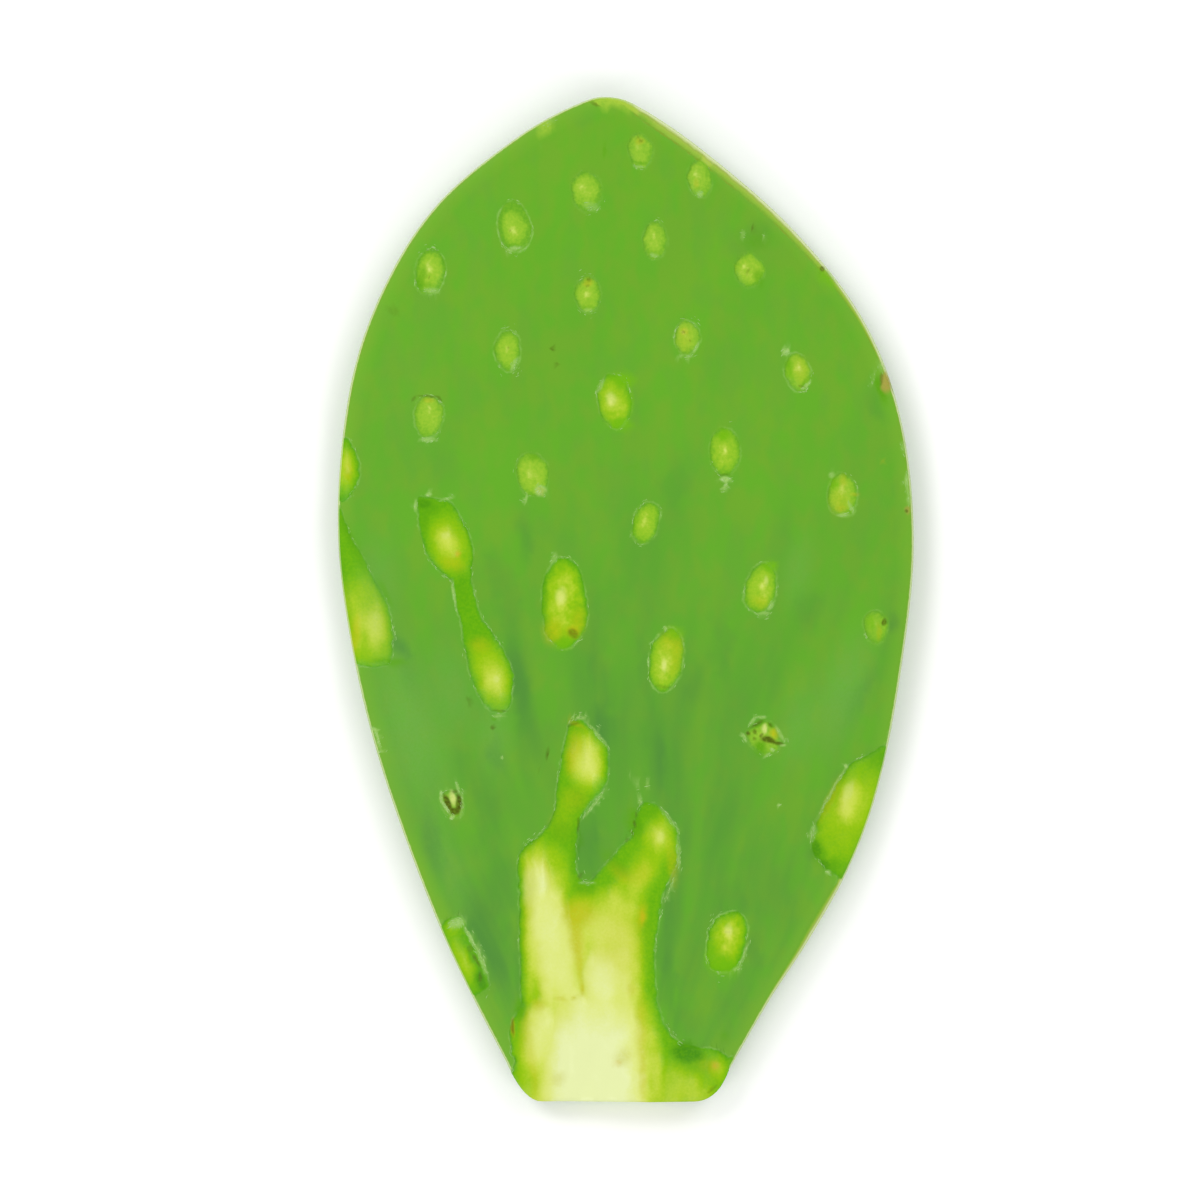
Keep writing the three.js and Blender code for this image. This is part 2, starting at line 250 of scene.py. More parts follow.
# Longer cuts: the lip where the knife broke the skin, the least depth inside it, and
# the strokes that went deeper, each (across, along, half width, half length, lean,
# depth, bluntness)
FORKED_SCOOP = (
    [
        (-29, -113), (-23.5, -98.4), (-24, -94.7), (-24.3, -91.1), (-23.8, -87.9),
        (-22.4, -85.3), (-21.9, -83.2), (-22, -78), (-22.3, -71.2), (-22.3, -62),
        (-22.5, -55.5), (-21.7, -52.2), (-19.3, -50), (-16.4, -47.5), (-15.1, -44.3),
        (-14.2, -38.7), (-13.6, -33.7), (-12.8, -29.2), (-11.7, -25.9), (-9.7, -24.8),
        (-8, -25.7), (-5.4, -28.4), (-3.7, -31), (-3.6, -35), (-4, -38),
        (-5.6, -40.4), (-7.9, -42.9), (-9.2, -45.4), (-10, -48.3), (-10.3, -52.5),
        (-10.2, -56), (-9.3, -58.2), (-7.9, -58.8), (-6.2, -57.5), (-3.8, -54.6),
        (-1.2, -51.7), (0.8, -49.5), (1.6, -46.8), (2.4, -43.9), (3.6, -42.2),
        (5.6, -42.2), (6.9, -42.9), (8.5, -44.7), (10.3, -47.1), (11, -50),
        (10.8, -54), (9.9, -57), (8.3, -60), (7.3, -63.5), (6.6, -68),
        (6.1, -72.5), (6, -77), (6.3, -81.6), (6.9, -85.4), (8.2, -89),
        (10.2, -91.6), (12.4, -92.8), (15, -93.3), (17.6, -93.5), (19.3, -94.2),
        (21.3, -95.5), (24, -97.4), (27, -113),
    ],
    0.5,
    [
        (-8.2, -33.5, 4.3, 7.1, 2, 2.3, 1.8),
        (-12.9, -44.5, 3, 6, 12, 0.6, 2),
        (-15.3, -72.5, 6, 24, -13, 3, 2.4),
        (-17.9, -59.5, 3, 6.5, 0, 3.3, 2),
        (-19.7, -68.5, 2.8, 19.5, 0, 1.5, 3),
        (-14.8, -57, 3.6, 7, -8, 1.5, 2),
        (6.9, -49.8, 4.4, 6, 12, 1.68, 1.6),
        (6.9, -49.4, 2.4, 3.4, 10, 2.1, 1.8),
        (0.8, -60.6, 4.1, 11.5, 33, 1.42, 2.6),
        (-1.5, -64.2, 6, 5, 15, 1.85, 2),
        (-3.2, -78.5, 7.3, 18, -2, 2.4, 3),
        (-5, -79.5, 5.2, 7.5, 0, 3.6, 2.4),
        (-9.6, -77, 3.2, 17, 0, 1.85, 3.5),
        (-9.8, -99.5, 14.3, 14, 0, 2, 3.4),
        (-6.9, -104, 12.4, 26.5, 0, 4.5, 2.6),
        (-17.8, -91, 4.3, 9, 8, 3.1, 2.2),
        (3.6, -96, 4.6, 15, -8, 1.8, 3),
        (11.4, -104, 9, 8.2, 20, 1.5, 2.5),
        (19.2, -98.2, 2.6, 3.4, 0, 1.35, 2),
    ],
)
TWIN_SCOOP = (
    [
        (-43.5, 21.4), (-40.3, 21.4), (-36.9, 20.7), (-35.8, 19.5), (-34.6, 17.5),
        (-32.6, 13.8), (-31.9, 10), (-32.1, 6.5), (-32.1, 3.5), (-31.5, 0.2),
        (-30, -3.5), (-28, -6.8), (-25.9, -10.1), (-24, -13.4), (-23.4, -16),
        (-23.5, -19.2), (-24.4, -22.3), (-26.3, -23.7), (-29.1, -22.5), (-31.3, -18.8),
        (-32.8, -14.7), (-33.7, -9.7), (-34.2, -5.6), (-35.2, -2), (-36, 2),
        (-36.9, 4.3), (-39.1, 6.4), (-41.2, 9.2), (-42.6, 12.7), (-43.3, 17.1),
    ],
    0.4,
    [
        (-36.9, 11.8, 5, 7.4, -14, 1.2, 2.5),
        (-37.2, 12.2, 3.3, 4.6, -14, 1.95, 1.9),
        (-28.1, -15.8, 4.7, 8, -20, 1.3, 2.5),
        (-27.5, -16.6, 3.3, 5, -14, 2, 1.9),
    ],
)
LEFT_RIM_SLICE = (
    [
        (-60.6, 22.5), (-59.5, 18.5), (-58.2, 15), (-56.4, 11.3), (-54.3, 7.6),
        (-52.7, 4.7), (-51, 1.4), (-49.6, -1.5), (-48.8, -4.4), (-48.6, -8.1),
        (-48.8, -11.3), (-49.9, -13.5), (-52.7, -14.1), (-54.7, -13.9), (-58, -13.6),
        (-68, -12), (-70, 8),
    ],
    0.45,
    [
        (-54, -4, 6.6, 10.5, -12, 1.35, 3),
        (-52.3, -5.2, 3.8, 6.6, -6, 1.95, 1.9),
    ],
)
RIGHT_RIM_SLICE = (
    [
        (62, -28), (53.6, -30.4), (50.4, -32.3), (47.6, -33.9), (46.1, -35.2),
        (44, -38.5), (41.9, -42.2), (40.1, -45.2), (39.7, -47.6), (38.8, -49.8),
        (39, -52.6), (40.9, -55.2), (42.3, -56.6), (44, -57.5), (45, -59.2),
        (50, -66), (66, -50),
    ],
    0.4,
    [
        (46.8, -44, 6.2, 12.5, 24, 1.2, 3),
        (46.8, -42, 3.3, 6.4, 14, 2.15, 1.8),
    ],
)
LOW_RIM_SLICE = (
    [
        (-44, -66), (-39.2, -67.9), (-37.9, -67), (-36, -66.2), (-34.5, -66.1),
        (-33.6, -67), (-33.4, -68.6), (-32.6, -70.4), (-31.6, -72.5), (-30.6, -74.3),
        (-29.6, -76.7), (-28.9, -78.5), (-28.7, -80.1), (-29.5, -81.6), (-31.3, -82.6),
        (-34, -84), (-46, -72),
    ],
    0.35,
    [
        (-34.2, -75.5, 2.2, 7, -25, 1.2, 2),
        (-36.2, -68.6, 2.4, 2, 30, 0.8, 2),
    ],
)
HIGH_RIM_SLICE = (
    [
        (-66, 36), (-58.6, 34), (-57, 32), (-56, 29.9), (-55.6, 27),
        (-56.3, 23.9), (-57.6, 21.8), (-60, 20), (-66, 18),
    ],
    0.25,
    [
        (-58.8, 27.6, 3.2, 5.6, 0, 1.35, 2),
        (-58.1, 28.6, 1.4, 3, 0, 1.8, 2),
    ],
)
LONG_CUTS = [
    FORKED_SCOOP, TWIN_SCOOP, LEFT_RIM_SLICE, RIGHT_RIM_SLICE, LOW_RIM_SLICE, HIGH_RIM_SLICE,
]

# The underside's cushions stand in the same slanting rows, each pared away.
FIRST_CUSHION = np.array((-10.0, 12.0))
ACROSS_STEP = np.array((23, 9))
ALONG_STEP = np.array((4, -25))
LATTICE_REACH = 6
UNDERSIDE_EDGE = 8
UNDERSIDE_SPOT = (3.1, 4.5)
UNDERSIDE_DEPTH = 1.2
UNDERSIDE_PALE = (0.1, 0.3)  # palest point: how far across, and most it swings along
UNDERSIDE_COLLAR = 0.08
UNDERSIDE_LINE = 0.3
GROWTH_TO_STEM = 0.3
LEAN_PER_MM = 0.25

LIP_STEP = 0.22  # the skin's own thickness, cut square
WALL_SLOPE = 0.8  # depth of a long cut's wall for each millimetre in from its lip
LONG_CUT_SINK = 0.8  # the flesh springs back a little from the knife
SPOT_SINK = 0.45  # how far a spot is hollowed, as a share of its root's depth
FAR = 14.0  # beyond this no cut is near
LINE_REACH = 1.5  # the line of broken cuticle keeps within this of the lip
LONG_CUT_LINE = 0.5
CUSHION_SWELL = 0.45  # the skin stands up this much round each cushion
SWELL_REACH = 8.0
SPOT_WOBBLE = (0.8, 0.4)  # coarse and fine unsteadiness of the lips
LONG_CUT_WOBBLE = (0.3, 0.4)
COARSE_WOBBLE_SIZE = 4
FINE_WOBBLE_SIZE = 1.3
STREAK_DEPTH = 0.3
STREAK_LAYERS = [(1.2, 0.35, 1.6, 11), (1, 1, 2.4, 12), (1, 1, 5, 13)]
STREAKS_FROM = 0.4  # a stroke this shallow leaves no streaks
STREAKS_MOST = 1.2
STROKE_BLEND = 0.5  # how softly one stroke runs into the next and into the wall
STROKE_HOLLOW = 0.75

# How a pared spot is shaped, as shares of its root's depth and of its oval
SPOT_SHARPNESS = 3.8  # how abruptly the root rises from the collar
DEEP_SPOT_EASE = 1.2  # how much softer that is where the knife went deep
DEEP_SPOT = (1.4, 1.8)
SPOT_FLOOR = 0.1
SPOT_BODY = 0.82
# a painted highlight, laid at each spot's palest point as extra paleness in its colour depth
SPOT_PAINTED_HIGHLIGHT = 0.5
PAINTED_HIGHLIGHT_SIZE = 0.17
BUTTON_HEIGHT = 0.25  # the cushion's root stands up as a low button
BUTTON_SIZE = 0.4
SPOT_TEXTURE = [(0.35, 1.3, 31), (0.25, 0.6, 32)]  # strength, size, seed
BOWL_TEXTURE = 0.3
SPOT_STEP = 0.7  # the lip's step, less than a long cut's
SPOT_STEP_WIDTH = 0.25
LEAST_DEPTH = 0.05
LEAST_SLOPE = 0.1
LONG_CUT_FLESH = (1.1, 1.8)  # root depths between which a spot's flesh turns as pale


def in_spot(spot, x, y):
    """Where (x, y) is in an oval: 0 at its middle, 1 at its ends and sides."""
    lean = np.radians(spot[4])
    dx, dy = x - spot[0], y - spot[1]
    along = (dx * np.sin(lean) + dy * np.cos(lean)) / spot[3]
    across = (dx * np.cos(lean) - dy * np.sin(lean)) / spot[2]
    return along, across


def soft_max(a, b, blend):
    """The larger of a and b, rounded where they meet."""
    share = np.clip(0.5 + 0.5 * (b - a) / blend, 0, 1)
    return a * (1 - share) + b * share + blend * share * (1 - share)


def inside_lip(line, x, y):
    """Distance in from a closed lip, negative outside it."""
    low, high = line.min(axis=0) - FAR, line.max(axis=0) + FAR
    near = (x > low[0]) & (x < high[0]) & (y > low[1]) & (y < high[1])
    px, py = x[near], y[near]
    inside = np.zeros(px.shape, bool)
    for (ax, ay), (bx, by) in zip(line, np.roll(line, -1, axis=0)):
        if ay != by:
            crosses = (ay > py) != (by > py)
            inside ^= crosses & (px < ax + (py - ay) * (bx - ax) / (by - ay))
    distance = distance_to_line(line, px, py, closed=True)
    result = np.full(x.shape, -FAR)
    result[near] = np.where(inside, distance, -distance)
    return result


def knife_streaks(x, y):
    """Streaks along the strokes, and two sizes of unevenness."""
    return STREAK_DEPTH * sum(soft_noise(x * across, y * along, size, seed)
                              for across, along, size, seed in STREAK_LAYERS)


def spot_cut(spot, x, y):
    """One pared spot: depth into the flesh, distance in from its lip, and how far the
    cut face lies below the skin."""
    root, pale_across, pale_along, collar = spot[5:9]
    sharpness = SPOT_SHARPNESS - DEEP_SPOT_EASE * smoothstep(root, *DEEP_SPOT)
    along, across = in_spot(spot, x, y)
    out = along ** 2 + across ** 2
    slope = np.maximum(2 * np.hypot(along / spot[3], across / spot[2]), LEAST_SLOPE)
    lip = (1 - out) / slope
    # 0 at the palest point, 1 all round the lip
    off = (along - pale_along) * pale_along + (across - pale_across) * pale_across
    rest = 1 - pale_along ** 2 - pale_across ** 2
    away = (along - pale_along) ** 2 + (across - pale_across) ** 2
    out = (off + np.sqrt(off ** 2 + rest * away)) / rest
    fall = np.minimum(out / (1 - collar), 1) ** sharpness
    rise = SPOT_FLOOR + (1 - SPOT_FLOOR) * (1 - fall)
    texture = sum(strength * soft_noise(x, y, size, seed)
                  for strength, size, seed in SPOT_TEXTURE)
    # painted highlight: the palest point made paler still
    painted_highlight = SPOT_PAINTED_HIGHLIGHT * np.exp(-(out / PAINTED_HIGHLIGHT_SIZE) ** 2)
    depth = root * (SPOT_BODY * rise * (1 + texture) + painted_highlight)
    step = SPOT_STEP * LIP_STEP * smoothstep(lip, 0, SPOT_STEP_WIDTH)
    button = BUTTON_HEIGHT * np.exp(-(out / BUTTON_SIZE) ** 2)
    bowl = SPOT_SINK * root * np.maximum(1 - out ** 2, 0) * (1 + BOWL_TEXTURE * texture)
    return np.maximum(depth, LEAST_DEPTH), lip, step + bowl - button


def long_cut(cut, x, y):
    """The same for a long cut."""
    lip_points, least_depth, strokes = cut
    lip = inside_lip(smooth_line(lip_points, steps=8, closed=True), x, y)
    floor = np.full(x.shape, least_depth)
    for stroke in strokes:
        along, across = in_spot(stroke, x, y)
        out = np.abs(along) ** stroke[6] + np.abs(across) ** stroke[6]
        floor = soft_max(floor, stroke[5] * (1 - STROKE_HOLLOW * out), STROKE_BLEND)
    floor += knife_streaks(x, y) * np.clip(floor - STREAKS_FROM, 0, STREAKS_MOST)
    wall = LIP_STEP + WALL_SLOPE * np.maximum(lip, 0)
    depth = np.maximum(-soft_max(-floor, -wall, STROKE_BLEND), 0)
    return depth, lip, np.minimum(depth, wall) * LONG_CUT_SINK


def wobble(x, y, coarse, fine):
    """How far an unsteady hand and ragged skin move a point of a lip."""
    shift = lambda seed: (coarse * soft_noise(x, y, COARSE_WOBBLE_SIZE, seed)
                          + fine * soft_noise(x, y, FINE_WOBBLE_SIZE, seed + 1))
    return x + shift(1), y + shift(3)


def gather_cuts(x, y, spots, long_cuts):
    """Depth into the flesh, distance in from the lip, how far the face sinks, how much
    the flesh is that of a long deep cut, and how plainly the cuticle shows at the lip."""
    depth, sunk, deep, plain = np.zeros((4,) + x.shape)
    lip = np.full(x.shape, -FAR)
    sx, sy = wobble(x, y, *SPOT_WOBBLE)
    for spot in spots:
        spot_depth, spot_lip, spot_sunk = spot_cut(spot, sx, sy)
        here = spot_lip > 0
        depth = np.where(here, spot_depth, depth)
        sunk = np.where(here, spot_sunk, sunk)
        deep = np.where(here, smoothstep(spot[5], *LONG_CUT_FLESH), deep)
        plain = np.where(spot_lip > -LINE_REACH, spot[9], plain)
        lip = np.maximum(lip, spot_lip)
    sx, sy = wobble(x, y, *LONG_CUT_WOBBLE)
    for cut in long_cuts:
        cut_depth, cut_lip, cut_sunk = long_cut(cut, sx, sy)
        here = cut_lip > 0
        depth = np.where(here, cut_depth, depth)
        sunk = np.where(here, np.maximum(sunk, cut_sunk), sunk)
        deep = np.where(cut_lip > -LINE_REACH, 1, deep)
        plain = np.where(cut_lip > -LINE_REACH, LONG_CUT_LINE, plain)
        lip = np.maximum(lip, cut_lip)
    return depth, lip, sunk, deep, plain


def cushion_swell(x, y, spots):
    """The low mound of skin round each cushion."""
    swell = np.zeros(x.shape)
    for spot in spots:
        away = np.hypot(x - spot[0], y - spot[1])
        swell = np.maximum(swell, CUSHION_SWELL * np.exp(-(away / SWELL_REACH) ** 2))
    return swell


def underside_spots():
    """The underside's pared spots, row by row, clear of the rim."""
    spots = []
    for across in range(-LATTICE_REACH, LATTICE_REACH + 1):
        for along in range(-LATTICE_REACH, LATTICE_REACH + 1):
            place = FIRST_CUSHION + across * ACROSS_STEP + along * ALONG_STEP
            if inside_lip(outline, *place[:, None])[0] < 0:
                continue
            if distance_to_line(grown_rim, *place[:, None])[0] < UNDERSIDE_EDGE:
                continue
            growth = 1 - GROWTH_TO_STEM * place[1] / HALF_LENGTH
            width, length = (size * growth for size in UNDERSIDE_SPOT)
            lean = place[0] * LEAN_PER_MM
            pale_across, swing = UNDERSIDE_PALE
            pale_along = swing * np.sin(place[0] + place[1])
            spots.append((*place, width, length, lean, UNDERSIDE_DEPTH * growth,
                          pale_across, pale_along, UNDERSIDE_COLLAR, UNDERSIDE_LINE))
    return spots


UNDERSIDE_SPOTS = underside_spots()

# ------------------------------------------------------------------------------- marks
# Small marks on skin and flesh: cuticle torn white at the end of a stroke, scabs and grit,
# corky brown spots by the rim, yellowing in the deep cut and wax bloom, with painted shade
# and painted highlights. Each is (across, along, half width, half length, lean, strength).

LIGHT_ON_TABLE = 1.14
GLOSS_HAZE = 0.0065
DARKEST_PAINT = 0.001


def paint(hex_code):
    """The renderer's linear colour for one named as it looks on the lit table."""
    parts = [int(hex_code[i:i + 2], 16) / 255 for i in (0, 2, 4)]
    linear = [p / 12.92 if p < 0.04045 else ((p + 0.055) / 1.055) ** 2.4 for p in parts]
    return [max(p - GLOSS_HAZE, DARKEST_PAINT) / LIGHT_ON_TABLE for p in linear] + [1]


TORN_SOFTNESS = 0.5
TORN_CUTICLE = [
    (2.7, 90.5, 1.2, 0.25, 0, 0.6), (-7.2, 82, 1.6, 0.8, 10, 0.35), (15.5, 84.6, 0.6, 0.8, 0, 0.6),
    (-23.4, 73.3, 1.6, 0.45, -12, 0.7), (6, 72, 0.9, 0.35, 10, 0.5),
    (-40.6, 64.7, 1.6, 0.6, 0, 0.5), (-7.8, 60.7, 0.8, 0.4, 0, 0.45),
    (12.3, 50.8, 1.7, 0.35, 0, 0.45), (14.7, 52.8, 0.3, 1.2, 20, 0.5),
    (-23.2, 49.3, 0.35, 1.5, 35, 0.6), (33.6, 51.8, 0.6, 0.7, 20, 0.9),
    (37.7, 44.8, 0.35, 1.2, 45, 0.7), (-5.1, 44.7, 0.35, 1.5, 30, 0.55),
    (-41.4, 33.6, 1.8, 0.45, 0, 0.6), (20.7, 25.2, 1.2, 0.6, 0, 0.9),
    (20.7, 23.8, 0.3, 1, 25, 0.7), (-17.8, 23, 1.2, 1, 0, 0.8), (-20.7, 21.3, 0.25, 1.2, 0, 0.6),
    (42.9, 26.2, 0.6, 0.6, 20, 0.5), (47, 19.3, 0.4, 1.2, -18, 0.5),
    (45.3, 17.7, 1.2, 0.3, 0, 0.6), (30.1, -1.3, 0.4, 1, 30, 0.6), (28.6, -2.9, 1.4, 0.35, 0, 0.5),
    (8.1, -5.9, 0.4, 0.4, 0, 0.7), (24.9, -73.6, 0.3, 2.2, 24, 0.5),
    (22.9, -77, 0.3, 1.4, 50, 0.5), (-41.1, 22.2, 0.6, 0.45, -20, 0.7),
    (-44, 19.7, 0.35, 1.2, 0, 0.6), (-37.6, 21.2, 1.6, 0.25, -12, 0.5),
    (-9.8, -24.6, 1.5, 0.3, 0, 0.9), (-5.9, -28, 0.25, 3.2, -38, 0.6),
    (-35.9, 1.2, 0.3, 2.6, -12, 0.75), (2.9, -41.9, 0.5, 0.7, 0, 0.45),
    (9, -45.6, 0.35, 2.6, -38, 0.45), (10.9, -53, 0.35, 3, -4, 0.45),
    (9.2, -60.4, 0.3, 2.6, 24, 0.4), (-8.2, -59.1, 1.6, 0.3, 0, 0.5),
    (-6.6, -42.6, 0.35, 3.6, 38, 0.5), (46, -34.8, 0.4, 0.5, 0, 0.95),
    (42.9, -40.4, 0.25, 5.4, 29, 0.6), (39.2, -48.6, 0.6, 1.6, 14, 0.5),
    (42.5, -57, 0.6, 0.4, -20, 0.7), (-15, 8.6, 0.6, 1.2, 20, 0.4),
    (-38.6, -41, 0.32, 1.2, -4, 0.95), (-37.7, -43.3, 0.32, 1.6, -31, 0.95),
    (-36.3, -45.3, 0.6, 0.4, -40, 1), (-34.3, -42.6, 0.3, 2.6, 6, 0.45),
    (-35, -39.4, 0.3, 1.4, -24, 0.6), (26.4, -25.2, 0.3, 1.2, 44, 0.6),
    (28.3, -24.4, 0.9, 0.3, 0, 0.6), (32.4, -28, 0.3, 1.8, -28, 0.5),
    (32.9, -30.3, 0.7, 0.25, 0, 0.75), (30.4, -31.3, 0.5, 0.35, 30, 0.8),
    (29.2, -32.4, 0.25, 1, 55, 0.5), (24.9, -28.6, 0.3, 0.9, -20, 0.8),
    (-26.6, -24.2, 1.2, 0.3, 0, 0.4), (-35.4, -67.5, 1.6, 1, -20, 0.8),
    (-32.6, -70.4, 0.4, 2.4, -27, 0.8), (-30.4, -75.2, 0.5, 3, -22, 0.7),
    (24.5, 76.4, 0.4, 0.8, 14, 0.35), (28.9, 75.9, 0.7, 0.3, -30, 0.35),
    (-16.2, 99.6, 1.2, 0.5, -30, 0.3), (-17.6, 94.9, 0.4, 0.4, 0, 0.4),
    (51.8, 46.6, 0.3, 2.2, 16, 0.2), (53.8, 48.9, 0.8, 1.4, -20, 0.3),
    (58.5, 33, 0.4, 1.8, 0, 0.6), (58.7, 24.6, 0.4, 2, 0, 0.6), (59.3, 21.6, 0.6, 1.6, 0, 0.55),
    (-52.1, -29, 0.3, 2.2, -18, 0.8), (-53, -26.9, 1.2, 0.35, 20, 0.7),
    (-51.6, -31.8, 0.9, 0.35, 0, 0.5), (0.6, -36.7, 0.3, 0.25, 0, 0.5),
    (2.4, -38.3, 0.3, 0.25, 0, 0.35), (4.4, -38.3, 0.4, 0.2, 0, 0.4),
    (-25.9, -33, 0.3, 0.3, 0, 0.6), (32, -42.8, 0.4, 0.3, 0, 0.8),
]
